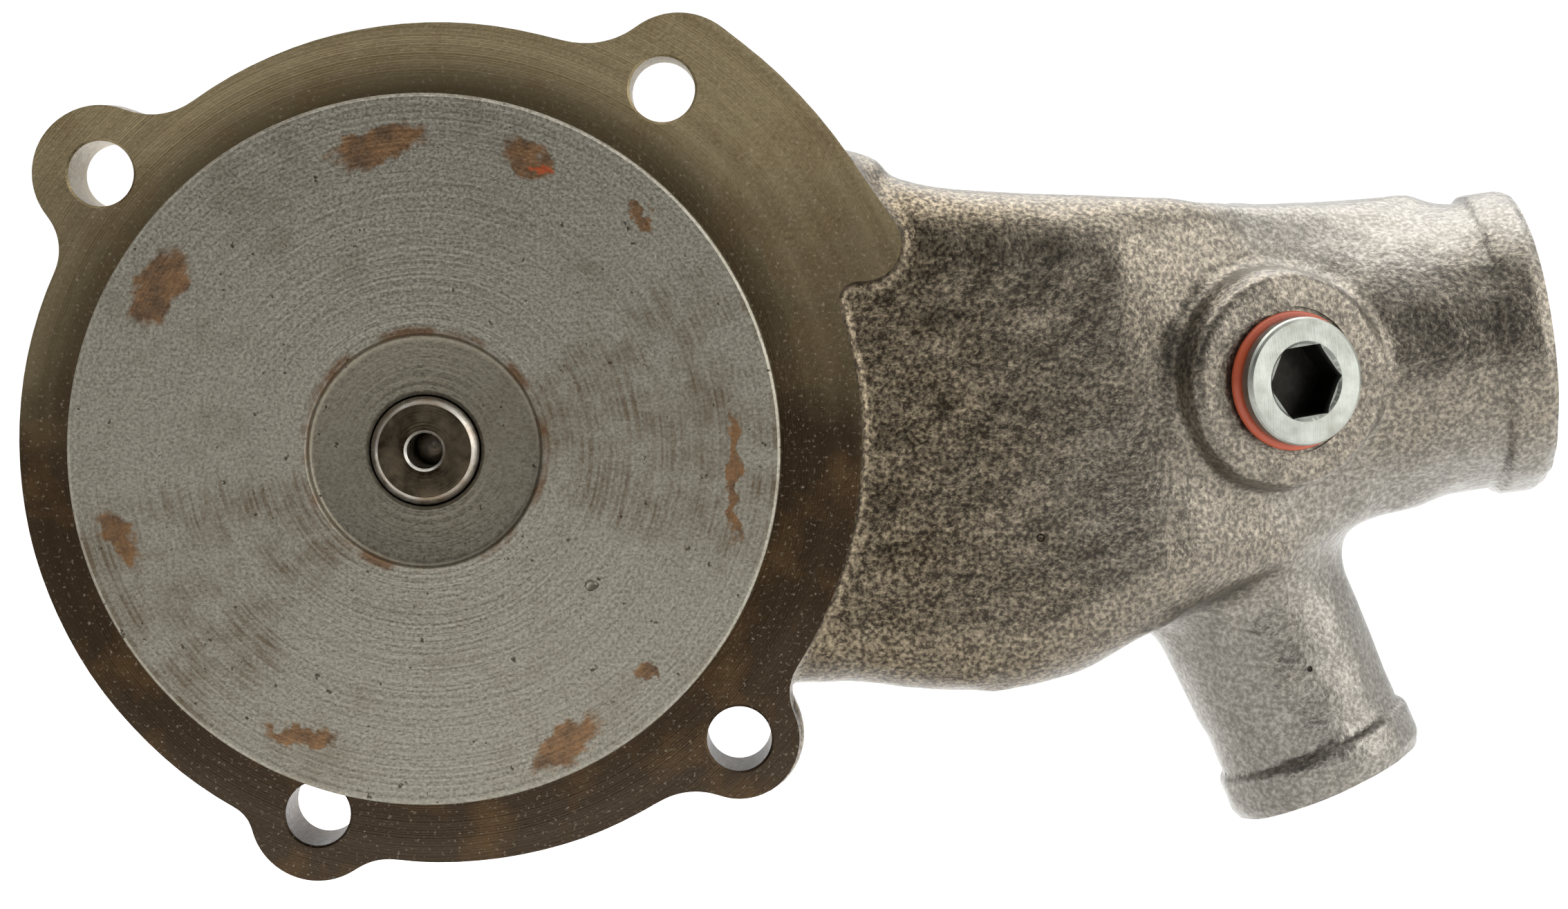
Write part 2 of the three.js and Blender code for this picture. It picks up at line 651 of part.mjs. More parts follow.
add("seal_cup", sealCup(), BRASS);
add("hex_plug", hexPlug(), ZINC);
add("plug_washer", plugWasher(), SEALING_RED);

export default pump;
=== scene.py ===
"""The looks of the coolant pump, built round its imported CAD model.

Shapes are described as the pump lies on its back, in millimetres: x along the suction arm, y up and z along
the shaft into the engine, with z = 0 on the machined face. to_frame() turns such points into the CAD model's
frame.
"""

import json
import math

import bmesh
import bpy
import numpy as np
import openvdb
from mathutils import Matrix, Vector


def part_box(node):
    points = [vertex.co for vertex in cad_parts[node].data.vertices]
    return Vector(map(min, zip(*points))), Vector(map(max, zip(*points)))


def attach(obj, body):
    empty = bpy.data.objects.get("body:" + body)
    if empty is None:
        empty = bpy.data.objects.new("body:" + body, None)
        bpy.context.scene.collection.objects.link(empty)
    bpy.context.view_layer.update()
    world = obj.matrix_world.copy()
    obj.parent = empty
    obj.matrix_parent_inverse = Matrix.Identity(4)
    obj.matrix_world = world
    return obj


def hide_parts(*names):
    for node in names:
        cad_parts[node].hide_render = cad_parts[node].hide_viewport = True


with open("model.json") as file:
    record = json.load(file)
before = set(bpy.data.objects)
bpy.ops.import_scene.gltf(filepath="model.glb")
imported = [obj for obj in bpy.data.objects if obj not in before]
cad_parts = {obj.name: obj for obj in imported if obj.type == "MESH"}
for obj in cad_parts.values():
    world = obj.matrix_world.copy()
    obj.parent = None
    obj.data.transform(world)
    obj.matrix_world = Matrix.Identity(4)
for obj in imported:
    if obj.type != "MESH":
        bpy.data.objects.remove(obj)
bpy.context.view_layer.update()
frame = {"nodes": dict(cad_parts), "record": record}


# ---- driving dimensions, from the frame ----------------------------------------------------------


def span(node):
    """A CAD node's lowest and highest corner as the pump lies on its back, in millimetres."""
    low, high = (1000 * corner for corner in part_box(node))
    return Vector((low.x, low.z, -high.y)), Vector((high.x, high.z, -low.y))


HOUSING_LOW = span("pump_housing")[0]
IMPELLER_HIGH = span("impeller")[1]
SHAFT_LOW, SHAFT_HIGH = span("pump_shaft")
HUB_LOW, HUB_HIGH = span("pulley_hub")
BEARING_LOW, BEARING_HIGH = span("bearing_outer_ring")

GAP = 0.3
FLANGE_THICK = 13
RIM = (1.7, 0.45, 71.0)  # x, y and radius
PORT_RIM_R = 86
PORT_EAR = {"angle": 55.5, "r": 12, "proud": 0.1}  # round end of the wide lobe
CORNER_EAR = (73, 34.4, 6.4)  # x, y and radius
BOLT_HOLE_R = 5.5
BOLT_CIRCLE = [(71.85, 140.1), (71.85, 57.0), (71.85, 316.4), (65.2, 252.6)]  # radius and bearing
BOLT_PAD_Z = -16
EYE_R = 33
CHAMBER_R = 44
CHAMBER_Z = -44
RIBS = {"bearings": (70, 145, 215, 290), "half": 3.5}
SNOUT_R = 27
SNOUT_Z = HOUSING_LOW.z
BEARING_R = BEARING_HIGH.x + 0.15
BEARING_STOP_Z = -57
SEAL_BORE_R = 19
SHAFT_BORE_R = 17
RING_GROOVE = {"deep": 1.25, "z": (-97.4, -95)}
WEEP_HOLE = {"r": 2.5, "z": -52.5}
ARM_FACE_Z = -7
ARM_BACK_Z = -66
ARM_WALL = 6
ARM_ROUND = 12
PIPE_Z = -42
# Planes on which the arm's face falls off: a point on the face, then lean and bearing in degrees
SLOPES = [((124, 14), 33, 10), ((117, 37), 35, 45)]
BOSS = {"at": (147, 11, -8.5), "r": 19, "tilt": 20, "drill": 8.3, "spot_face": 12.8}
BLOWHOLES = [(103.7, -15.9, -7), (153.1, -40.7, -25.2), (186, 22.5, -16.2), (187.5, 13, -16)]
BLOWHOLE_R = 0.75
SHAFT_R = SHAFT_HIGH.x
SHAFT_CENTRE_R = 3
SEAT_R = 9
IMPELLER_R = IMPELLER_HIGH.x
IMPELLER_TOP = IMPELLER_HIGH.z
DISC_THICK = 5
VANES = {"count": 7, "half": 1.9, "inner": 31, "outer_gap": 1.5, "sweep": 48, "lean": 35, "z": 0.8}
HUB_SCREWS = {"circle": 27, "bearings": (45, 135, 225, 315), "r": 3.4, "sink": 4.9}
LAND_R = 13.5  # bore of the bearing's outer ring between its tracks
BALLS = {"count": 8, "r": 3.15, "pitch": 11.9, "z": -66}
ROLLERS = {"count": 8, "r": 2.25, "pitch": 11.925, "long": 12, "z": -83}
CAGE_R = 12.9
RETAINING_RING = {"inner": 16.85, "outer": 20.15, "eye": (8.2, -14.45), "eye_r": 2.4, "hole_r": 1.1}
PLUG = {"low": 1.9, "top": 4.9, "r": 11, "thread_r": 7.9, "across_flats": 12, "turn": 8, "deep": 7.5}
WASHER = {"low": -0.4, "thick": 2, "inner": 8.4}

VOXEL = 0.8  # of the casting's distance field

# The studio, in metres of the frame
CENTRE = (0.06, 0.02, 0)
FLOOR = {"z": -0.16, "half": 2.2}
# Lamps that point at the pump: name, place, size and power
LAMPS = [
    ("above", (0.06, 0.05, 0.9), (1.4, 0.8), 0.9),
    ("left", (-0.9, -0.3, 0.2), (0.7, 1.0), 0.4),
    ("right", (0.95, -0.45, 0.35), (0.8, 0.8), 5),
]
CAMERA = {"at": (0.0534, -0.55, 0.02775), "towards": (0.0596, 0, -0.0012), "lens": 74.84}


# ---- small helpers -------------------------------------------------------------------------------


def polar(radius, degrees):
    return radius * math.cos(math.radians(degrees)), radius * math.sin(math.radians(degrees))


def arc(x, y, radius, start, end, step=6):
    """Points along an arc from one angle to another, in degrees."""
    count = max(2, round(abs(end - start) / step))
    angles = [start + (end - start) * i / count for i in range(count + 1)]
    return [(x + polar(radius, a)[0], y + polar(radius, a)[1]) for a in angles]


def smooth_curve(points, steps=8):
    """A curve through every point, with its ends kept."""
    padded = [points[0], *points, points[-1]]
    curve = []
    for before, a, b, after in zip(padded, padded[1:], padded[2:], padded[3:]):
        for i in range(steps):
            t = i / steps
            weights = (
                (-t + 2 * t**2 - t**3) / 2,
                (2 - 5 * t**2 + 3 * t**3) / 2,
                (t + 4 * t**2 - 3 * t**3) / 2,
                (t**3 - t**2) / 2,
            )
            around = (before, a, b, after)
            curve.append(tuple(sum(w * p[k] for w, p in zip(weights, around)) for k in (0, 1)))
    return [*curve, points[-1]]


def to_frame(points):
    """Points of the pump on its back, in millimetres, as points of the frame, in metres."""
    points = np.asarray(points, float)
    return np.stack([points[:, 0], -points[:, 2], points[:, 1]], axis=1) / 1000


def axis_at(at, towards):
    """The matrix that puts something built along z at `at`, pointing `towards`."""
    turn = Vector((0, 0, 1)).rotation_difference(Vector(towards)).to_matrix().to_4x4()
    return Matrix.Translation(Vector(at)) @ turn


BOSS_AXIS = (math.sin(math.radians(BOSS["tilt"])), 0, math.cos(math.radians(BOSS["tilt"])))
BOSS_PLACE = axis_at(BOSS["at"], BOSS_AXIS)


class Pipe:
    """A hose pipe of the casting."""

    def __init__(self, x, y, angle, radius, bead, bore, back):
        self.radius, self.bead, self.bore, self.back = radius, bead, bore, back
        self.place = axis_at((x, y, PIPE_Z), (*polar(1, angle), 0))
        self.mouth = 3.2


PIPES = [Pipe(190.7, 17, 7.2, 26.1, 27.4, 21.4, 62), Pipe(158.5, -59.6, -65.4, 17.3, 18.5, 13, 46)]


# ---- meshes --------------------------------------------------------------------------------------


def new_object(name, points, faces, smooth=True):
    mesh = bpy.data.meshes.new(name)
    mesh.from_pydata(to_frame(points).tolist(), [], faces)
    mesh.polygons.foreach_set("use_smooth", [smooth] * len(mesh.polygons))
    mesh.update()
    piece = bpy.data.objects.new(name, mesh)
    bpy.context.scene.collection.objects.link(piece)
    return piece


def face_outwards(piece):
    """Points every face out of the piece."""
    work = bmesh.new()
    work.from_mesh(piece.data)
    bmesh.ops.remove_doubles(work, verts=work.verts, dist=1e-7)
    bmesh.ops.recalc_face_normals(work, faces=work.faces)
    work.to_mesh(piece.data)
    work.free()
    return piece


def turned(name, profile, facets=128, place=Matrix.Identity(4)):
    """A closed profile of (radius, z) points turned about the z axis, then put in its place."""
    rows = len(profile)
    points, faces = [], []
    for i in range(facets):
        cos, sin = polar(1, 360 * i / facets)
        points += [place @ Vector((r * cos, r * sin, z)) for r, z in profile]
    for i in range(facets):
        a, b = i * rows, (i + 1) % facets * rows
        for j in range(rows):
            k = (j + 1) % rows
            faces.append((a + j, b + j, b + k, a + k))
    piece = new_object(name, points, faces)
    work = bmesh.new()
    work.from_mesh(piece.data)
    bmesh.ops.remove_doubles(work, verts=work.verts, dist=1e-7)
    bmesh.ops.dissolve_degenerate(work, edges=work.edges, dist=1e-7)
    work.to_mesh(piece.data)
    work.free()
    return face_outwards(piece)


def rod(radius, z0, z1, facets=64, bore=0):
    return turned("rod", [(bore, z0), (radius, z0), (radius, z1), (bore, z1)], facets)


def moved(piece, place):
    """Puts a piece that was built in the lying frame somewhere else in it."""
    lying = Matrix(((1, 0, 0, 0), (0, 0, -1, 0), (0, 1, 0, 0), (0, 0, 0, 1)))
    millimetres = Matrix.Scale(0.001, 4)
    turn = lying @ place @ lying.inverted()
    piece.data.transform(millimetres @ turn @ millimetres.inverted())
    return piece


def prism(name, outline, z0, z1):
    """An outline pulled along z."""
    count = len(outline)
    points = [(x, y, z) for z in (z0, z1) for x, y in outline]
    sides = [(i, (i + 1) % count, count + (i + 1) % count, count + i) for i in range(count)]
    ends = [tuple(range(count))[::-1], tuple(range(count, 2 * count))]
    return face_outwards(new_object(name, points, [*sides, *ends], smooth=False))


def cut(piece, tools, operation="DIFFERENCE"):
    """Cuts the piece with each tool, or joins them to it, and removes the tools."""
    for tool in tools:
        modifier = piece.modifiers.new("cut", "BOOLEAN")
        modifier.solver = "MANIFOLD"
        modifier.operation = operation
        modifier.object = tool
        with bpy.context.temp_override(object=piece, active_object=piece):
            bpy.ops.object.modifier_apply(modifier=modifier.name)
        bpy.data.objects.remove(tool)
    piece.data.materials.clear()
    return piece


def sharpen(piece, degrees=32):
    """Smooth shading, with edges sharper than this kept crisp."""
    work = bmesh.new()
    work.from_mesh(piece.data)
    for face in work.faces:
        face.smooth = True
    for edge in work.edges:
        edge.smooth = len(edge.link_faces) == 2 and edge.calc_face_angle(0) < math.radians(degrees)
    work.to_mesh(piece.data)
    work.free()
    return piece


# ---- the casting as a distance field -------------------------------------------------------------


def outline_round(circles):
    """One outline round several circles (x, y, radius, next), counter-clockwise. `next` is the radius of the
    hollow fillet to the following circle, or 0 for their common tangent."""

    def bearing(a, b):
        return math.atan2(b[1] - a[1], b[0] - a[0])

    joints = []
    for a, b in zip(circles, circles[1:] + circles[:1]):
        apart = math.dist(a[:2], b[:2])
        if not a[3]:
            normal = bearing(a, b) - math.acos((a[2] - b[2]) / apart)
            joints.append((normal, normal, None))
            continue
        near, far = a[2] + a[3], b[2] + a[3]
        leave = bearing(a, b) - math.acos((near**2 + apart**2 - far**2) / (2 * near * apart))
        hollow = (a[0] + near * math.cos(leave), a[1] + near * math.sin(leave))
        joints.append((leave, bearing(b, hollow), (hollow, a[3], bearing(hollow, a), bearing(hollow, b))))
    points = []
    for i, (x, y, radius, _) in enumerate(circles):
        start, end = math.degrees(joints[i - 1][1]), math.degrees(joints[i][0])
        points += arc(x, y, radius, start, start + (end - start) % 360, 3)
        if joints[i][2]:
            (hx, hy), r, start, end = joints[i][2]
            start, end = math.degrees(start), math.degrees(end)
            points += arc(hx, hy, r, start, start - (start - end) % 360, 8)
    return points


def flange_outline():
    ears = [polar(radius, angle) for radius, angle in BOLT_CIRCLE]
    return outline_round(
        [
            (*RIM, 3.5),
            (*CORNER_EAR, 0),
            (0, 0, PORT_RIM_R, 0),
            (*polar(PORT_RIM_R + PORT_EAR["proud"] - PORT_EAR["r"], PORT_EAR["angle"]), PORT_EAR["r"], 14),
            (*RIM, 12),
            (*ears[0], 11.5, 9),
            (*RIM, 6),
            (*ears[3], 11.5, 10),
            (*RIM, 12),
            (*ears[2], 10.3, 8),
        ]
    )


def arm_outline():
    below = [(28, -47), (64, -42), (82, -43), (97, -43.6), (110, -40.8)]
    below_pipe = [(124, -33.8), (140, -24.6), (157, -16), (173, -10)]
    above = [(173, 41), (158, 40.6), (142, 41.2), (122, 42.6), (101, 43.3)]
    above_flange = [(88, 44.2), (79, 46.2), (70, 51), (28, 56)]
    return smooth_curve(below + below_pipe) + smooth_curve(above + above_flange)


def polygon_distance(points, x, y):
    """Signed distance to a closed outline, negative inside."""
    nearest = np.full(x.shape, np.inf, np.float32)
    inside = np.zeros(x.shape, bool)
    for (ax, ay), (bx, by) in zip(points, points[1:] + points[:1]):
        ex, ey = bx - ax, by - ay
        if ex == ey == 0:
            continue
        t = np.clip(((x - ax) * ex + (y - ay) * ey) / (ex * ex + ey * ey), 0, 1)
        nearest = np.minimum(nearest, (x - ax - ex * t) ** 2 + (y - ay - ey * t) ** 2)
        inside ^= ((ay <= y) != (by <= y)) & (x < ax + (y - ay) * ex / ((by - ay) or 1))
    return np.where(inside, -1, 1) * np.sqrt(nearest)


class Field:
    """A grid over the whole casting, and signed distances on it. Distances are negative inside."""

    def __init__(self, low, high, step):
        self.low, self.step = np.array(low, float), step
        axes = [np.arange(a, b + step, step, dtype=np.float32) for a, b in zip(low, high)]
        self.x, self.y, self.z = np.meshgrid(*axes, indexing="ij")
        self.flat = (self.x[:, :, 0], self.y[:, :, 0])

    def about(self, place):
        """Each point's distance from, and place along, the z axis of `place`."""
        back = np.array(place.inverted())
        grid = (self.x, self.y, self.z)
        x, y, z = (sum(back[k, i] * grid[i] for i in range(3)) + back[k, 3] for k in range(3))
        return np.sqrt(x * x + y * y), z

    def turned(self, profile, place=Matrix.Identity(4)):
        """Distance to a turned shape. A profile point on the axis is given as radius 0."""
        radius, along = self.about(place)
        beyond = [(-40 if r == 0 else r, z) for r, z in profile]
        step, margin = 0.5, 12
        rs = np.arange(0, max(r for r, _ in profile) + margin, step)
        zs = np.arange(min(z for _, z in profile) - margin, max(z for _, z in profile) + margin, step)
        table = polygon_distance(beyond, *np.meshgrid(rs, zs, indexing="ij")).astype(np.float32)
        u = np.clip(radius / step, 0, len(rs) - 1.001)
        v = np.clip((along - zs[0]) / step, 0, len(zs) - 1.001)
        i, j = u.astype(np.int32), v.astype(np.int32)
        fu, fv = u - i, v - j
        low = table[i, j] * (1 - fu) + table[i + 1, j] * fu
        high = table[i, j + 1] * (1 - fu) + table[i + 1, j + 1] * fu
        return (low * (1 - fv) + high * fv).astype(np.float32)

    def pulled(self, distance, z0, z1, rounding=0.5):
        """Distance to an outline pulled along z, with its edges rounded."""
        across = distance[:, :, None] + rounding
        along = np.abs(self.z - (z0 + z1) / 2) - (z1 - z0) / 2 + rounding
        inner = np.minimum(np.maximum(across, along), 0)
        return inner + np.hypot(np.maximum(across, 0), np.maximum(along, 0)) - rounding

    def plane(self, at, normal):
        """Distance to everything behind a plane."""
        a, n = np.array(at, float), np.array(normal, float)
        return (self.x - a[0]) * n[0] + (self.y - a[1]) * n[1] + (self.z - a[2]) * n[2]

    def noise(self, cell, seed):
        """Smooth random values about zero, with features of `cell` millimetres."""
        counts = [int(n * self.step / cell) + 3 for n in self.x.shape]
        values = np.random.default_rng(seed).standard_normal(counts)
        for axis, count in enumerate(self.x.shape):
            at = np.arange(count) * self.step / cell
            i = at.astype(int)
            shape = [-1 if k == axis else 1 for k in range(3)]
            share = at - i
            share = (share * share * (3 - 2 * share)).reshape(shape)
            values = values.take(i, axis) * (1 - share) + values.take(i + 1, axis) * share
        return values.astype(np.float32)


def blend(a, b, k):
    """Both shapes, with a fillet of about k where they meet."""
    share = np.maximum(k - np.abs(a - b), 0) / k
    return np.minimum(a, b) - share * share * k / 4


def trim(a, b, k):
    """Where both shapes are, with a rounding of about k along the new edge."""
    return -blend(-a, -b, k)


def arm_body(field, wall=0):
    """The suction arm, or what is inside its walls."""
    outline = polygon_distance(arm_outline(), *field.flat) + wall
    body = field.pulled(outline, ARM_BACK_Z + wall, ARM_FACE_Z - wall, ARM_ROUND - wall)
    for (x, y), lean, bearing in SLOPES:
        up, out = math.cos(math.radians(lean)), math.sin(math.radians(lean))
        slope = field.plane((x, y, ARM_FACE_Z), (*polar(out, bearing), up))
        body = trim(body, slope + wall, 5)
    return body


def pipe_body(field, pipe):
    """A hose pipe with the raised band at its mouth."""
    band = pipe.mouth - 8.4
    profile = [
        (0, -pipe.back),
        (pipe.radius + 1.2, -pipe.back),
        (pipe.radius, band - 6),
        (pipe.radius - 0.1, band - 0.8),
        *arc(pipe.bead - 1.4, band + 1.4, 1.4, 270, 360, 30),
        *arc(pipe.bead - 2.4, pipe.mouth - 2.4, 2.4, 0, 50, 15),
        (pipe.bead - 1.4, pipe.mouth + 1),
        (0, pipe.mouth + 1),
    ]
    return field.turned(profile, pipe.place)


def rib_body(field, degrees):
    """A web between the chamber's floor and the bearing snout."""
    x, y = polar(1, degrees)
    out, across = field.x * x + field.y * y, field.x * y - field.y * x
    edge = (SNOUT_R + 20 - out) * 0.935 - (-field.z - 40) * 0.356 - 2
    side = np.abs(across) - RIBS["half"]
    return np.maximum.reduce([side, -edge, -out, field.z + 38, SNOUT_Z + 8 - field.z])


def outside(field):
    """All the iron, as if the casting were solid."""
    shell = field.turned(
        [
            (0, -6),
            (52.5, -6),
            (50.5, -34),
            *arc(CHAMBER_R - 7, -38, 13, 18, -72),
            (SNOUT_R + 4, -54),
            (SNOUT_R, -60),
            (SNOUT_R, SNOUT_Z - 1),
            (0, SNOUT_Z - 1),
        ]
    )
    for degrees in RIBS["bearings"]:
        shell = blend(shell, rib_body(field, degrees), 5)
    arm = arm_body(field)
    for pipe in PIPES:
        arm = blend(arm, pipe_body(field, pipe), 9)
    rim = BOSS["r"]
    boss = [(0, -16), (rim + 1, -16), (rim + 0.3, -4), (rim - 0.4, -0.9), (rim - 1.4, 0), (0, 0)]
    arm = blend(arm, field.turned(boss, BOSS_PLACE), 3)
    body = blend(shell, arm, 8)
    flange = field.pulled(polygon_distance(flange_outline(), *field.flat), -FLANGE_THICK, 3, 1)
    for radius, angle in BOLT_CIRCLE:
        pad = [(0, BOLT_PAD_Z), (9, BOLT_PAD_Z), (10.3, BOLT_PAD_Z + 1.2), (10.6, -6), (0, -6)]
        flange = blend(flange, field.turned(pad, Matrix.Translation((*polar(radius, angle), 0))), 3)
    rough = 0.16 * field.noise(5, 1) + 0.22 * field.noise(17, 2)
    return blend(body + rough, flange + 0.06 * field.noise(9, 3), 3)


def passage(field):
    """The coolant's way from the hose pipes to the eye."""
    chamber = [
        (0, -8),
        (CHAMBER_R, -8),
        (CHAMBER_R, -34),
        *arc(CHAMBER_R - 8, -36, 8, 0, -90, 15),
        (0, CHAMBER_Z),
    ]
    way = blend(arm_body(field, ARM_WALL), field.turned(chamber), 5)
    for pipe in PIPES:
        bore = [(0, -pipe.back - 6), (pipe.bore, -pipe.back - 6), (pipe.bore, 20), (0, 20)]
        way = blend(way, field.turned(bore, pipe.place), 5)
    collar = field.turned([(0, CHAMBER_Z - 4), (25, CHAMBER_Z - 4), (25, -37), (24, -36), (0, -36)])
    return trim(way, -collar, 2)


def casting(field):
    """The rough casting as a mesh."""
    distance = np.maximum(outside(field), -passage(field)) / field.step
    grid = openvdb.FloatGrid(10.0)
    grid.copyFromArray(np.ascontiguousarray(np.clip(distance, -3, 3).astype(np.float32)))
    points, triangles, quads = grid.convertToPolygons(isovalue=0.0, adaptivity=0.0)
    faces = quads[:, ::-1].tolist() + triangles[:, ::-1].tolist()
    return face_outwards(new_object("housing", points * field.step + field.low, faces))


# ---- machining -----------------------------------------------------------------------------------


def pit(x, y, z, radius):
    """A ball that is cut away where the casting has a blowhole."""
    return turned("pit", arc(0, 0, radius, -90, 90, 15), 24, Matrix.Translation((x, y, z)))


def bolt_drills():
    """Bolt holes with a small chamfer at the machined face."""
    profile = [(0, -40), (BOLT_HOLE_R, -40), (BOLT_HOLE_R, -0.4), (BOLT_HOLE_R + 1.4, 1), (0, 1)]
    places = [Matrix.Translation((*polar(radius, angle), 0)) for radius, angle in BOLT_CIRCLE]
    return [turned("drill", profile, 96, place) for place in places]


def machining():
    """Everything that is cut from the rough casting."""
    block = [(-120, -120), (260, -120), (260, 120), (-120, 120)]
    tools = [prism("face", block, 0, 20), prism("front", block, SNOUT_Z - 30, SNOUT_Z), *bolt_drills()]
    bores = [
        (EYE_R, -30, 5),
        (SEAL_BORE_R, -48, -30),
        (SHAFT_BORE_R, BEARING_STOP_Z - 1, -47),
        (BEARING_R, SNOUT_Z - 5, BEARING_STOP_Z),
        (BEARING_R + RING_GROOVE["deep"], *RING_GROOVE["z"]),
    ]
    tools += [rod(radius, z0, z1, 128) for radius, z0, z1 in bores]
    lead_in = [
        (0, SNOUT_Z - 1),
        (BEARING_R + 1.8, SNOUT_Z - 1),
        (BEARING_R - 0.2, SNOUT_Z + 1),
        (0, SNOUT_Z + 1),
    ]
    tools.append(turned("lead_in", lead_in))
    tools.append(moved(rod(WEEP_HOLE["r"], -50, -10, 48), axis_at((0, 0, WEEP_HOLE["z"]), (0, 1, 0))))
    for pipe in PIPES:
        tools.append(moved(rod(60, pipe.mouth, 90, 64), pipe.place))
        tools.append(moved(rod(pipe.bore, -pipe.back, 20, 128), pipe.place))
    tools.append(moved(rod(BOSS["drill"], -30, 3, 64), BOSS_PLACE))
    tools.append(moved(rod(BOSS["spot_face"], -0.7, 6, 96), BOSS_PLACE))
    tools += [pit(x, y, z, BLOWHOLE_R) for x, y, z in BLOWHOLES]
    return tools


def machined_faces(piece):
    """Gives the machined faces of the housing the second material slot."""
    mesh = piece.data
    count = len(mesh.polygons)
    centre, normal = np.zeros(3 * count), np.zeros(3 * count)
    mesh.polygons.foreach_get("center", centre)
    mesh.polygons.foreach_get("normal", normal)
    centre, normal = centre.reshape(-1, 3) * 1000, normal.reshape(-1, 3)
    flat = (centre[:, 1] < 0.6) & (normal[:, 1] < -0.6)
    front = (centre[:, 1] > -SNOUT_Z - 1.2) & (normal[:, 1] > 0.6)
    radius = np.hypot(centre[:, 0], centre[:, 2])
    inwards = -(centre[:, 0] * normal[:, 0] + centre[:, 2] * normal[:, 2]) / radius
    bores = (radius < EYE_R + 0.05) & (inwards > 0.6)
    for radius, angle in BOLT_CIRCLE:
        x, z = polar(radius, angle)
        bores |= np.hypot(centre[:, 0] - x, centre[:, 2] - z) < BOLT_HOLE_R + 0.45
    mesh.polygons.foreach_set("material_index", (flat | front | bores).astype(np.int32))


def make_housing():
    field = Field((-73, -76, SNOUT_Z - 3), (199, 78, 4), VOXEL)
    piece = casting(field)
    cut(piece, machining())
    machined_faces(piece)
    return sharpen(piece, 40)


# ---- rotating group ------------------------------------------------------------------------------


def vane_outline(index):
    """A backward-swept vane, seen along the shaft."""
    steps, sides = 14, ([], [])
    for i in range(steps + 1):
        share = i / steps
        radius = VANES["inner"] + (IMPELLER_R - VANES["outer_gap"] - VANES["inner"]) * share
        angle = 360 * index / VANES["count"] - VANES["sweep"] * share
        x, y = polar(radius, angle)
        ax, ay = polar(VANES["half"], angle + 90 - VANES["lean"] * share)
        sides[0].append((x - ax, y - ay))
        sides[1].append((x + ax, y + ay))
    return sides[0] + sides[1][::-1]


def make_impeller():
    under, top, bore = IMPELLER_TOP - DISC_THICK, IMPELLER_TOP, SEAT_R + GAP
    recess = top - 1.4
    profile = [
        (bore, recess - 0.6),
        (bore + 0.6, recess),
        *arc(18.3, recess + 1, 1, 270, 350, 16),
        (19.5, top - 0.2),
        (19.75, top),
        (IMPELLER_R - 0.6, top),
        (IMPELLER_R - 0.15, top - 0.25),
        (IMPELLER_R, top - 0.7),
        (IMPELLER_R, under + 0.6),
        (IMPELLER_R - 0.6, under),
        *arc(27, under - 10, 10, 90, 180),
        (17, -14.5),
        (16.2, -15.2),
        (bore, -15.2),
    ]
    disc = turned("turned_impeller", profile, 256)
    vanes = [prism("vane", vane_outline(i), VANES["z"], under + 1) for i in range(VANES["count"])]
    cut(disc, vanes, "UNION")
    cut(disc, [pit(27.4, -22.3, top + 0.2, 1.0), pit(28.1, -22.2, top + 0.2, 0.7)])
    return sharpen(disc, 28)


def make_shaft():
    top, front = SHAFT_HIGH.z, SHAFT_LOW.z
    profile = [
        (0, top - 20),
        (SHAFT_CENTRE_R, top - 18),
        (SHAFT_CENTRE_R, top - 0.45),
        (3.45, top),
        (7.75, top),
        (7.95, top - 0.1),
        (8.9, top - 1),
        (SEAT_R, top - 1.2),
        (SEAT_R, -15.4),
        (SHAFT_R - 0.05, -15.5),
        (SHAFT_R - 0.05, front + 1),
        (SHAFT_R - 1, front),
        (3.4, front),
        (SHAFT_CENTRE_R, front + 0.4),
        (SHAFT_CENTRE_R, front + 6),
        (0, front + 8),
    ]
    spindle = sharpen(turned("spindle", profile, 160), 25)
    for face in spindle.data.polygons:
        at = 1000 * face.center
        face.material_index = int(-at.y > top - 0.05 and 3.5 < math.hypot(at.x, at.z) < 7.7)
    return spindle


def make_hub():
    front, back = HUB_LOW.z + 3, HUB_HIGH.z
    bore, edge = SHAFT_R + GAP, HUB_HIGH.x
    profile = [
        (bore + 0.5, back),
        (16.5, back),
        (18, back - 1.5),
        *arc(21.5, front + 11.5, 3.5, 180, 270, 12),
        (edge - 1, front + 8),
        (edge, front + 7),
        (edge, front + 1),
        (edge - 1, front),
        (15.6, front),
        (15.2, front - 0.2),
        (15, front - 0.6),
        (15, front - 2.3),
        (14.3, front - 3),
        (bore + 0.6, front - 3),
        (bore, front - 2.4),
        (bore, back - 0.5),
    ]
    hub = turned("drive_hub", profile, 192)
    drill = [
        (0, front - 2),
        (HUB_SCREWS["sink"], front - 2),
        (HUB_SCREWS["r"], front + 0.7),
        (HUB_SCREWS["r"], front + 7.4),
        (HUB_SCREWS["r"] + 1, front + 9),
        (0, front + 9),
    ]
    centres = [polar(HUB_SCREWS["circle"], angle) for angle in HUB_SCREWS["bearings"]]
    places = [Matrix.Translation((x, y, 0)) for x, y in centres]
    return sharpen(cut(hub, [turned("drill", drill, 64, place) for place in places]), 28)


# ---- bearing -------------------------------------------------------------------------------------


def make_outer_ring():
    back, front, outer = BEARING_HIGH.z, BEARING_LOW.z, BEARING_HIGH.x
    track = ROLLERS["pitch"] + ROLLERS["r"] + 0.15
    high, low = (ROLLERS["z"] + side * (ROLLERS["long"] / 2 + 0.4) for side in (1, -1))
    profile = [
        (outer - 0.7, back),
        (LAND_R + 0.3, back),
        *arc(BALLS["pitch"], BALLS["z"], 3.325, 60, -60, 8),
        (LAND_R, high),
        (track, high),
        (track, low),
        (LAND_R, low),
        (LAND_R, front),
        (outer - 0.7, front),
        (outer, front + 0.8),
        (outer, back - 0.8),
    ]
    return sharpen(turned("outer_ring", profile, 160), 25)


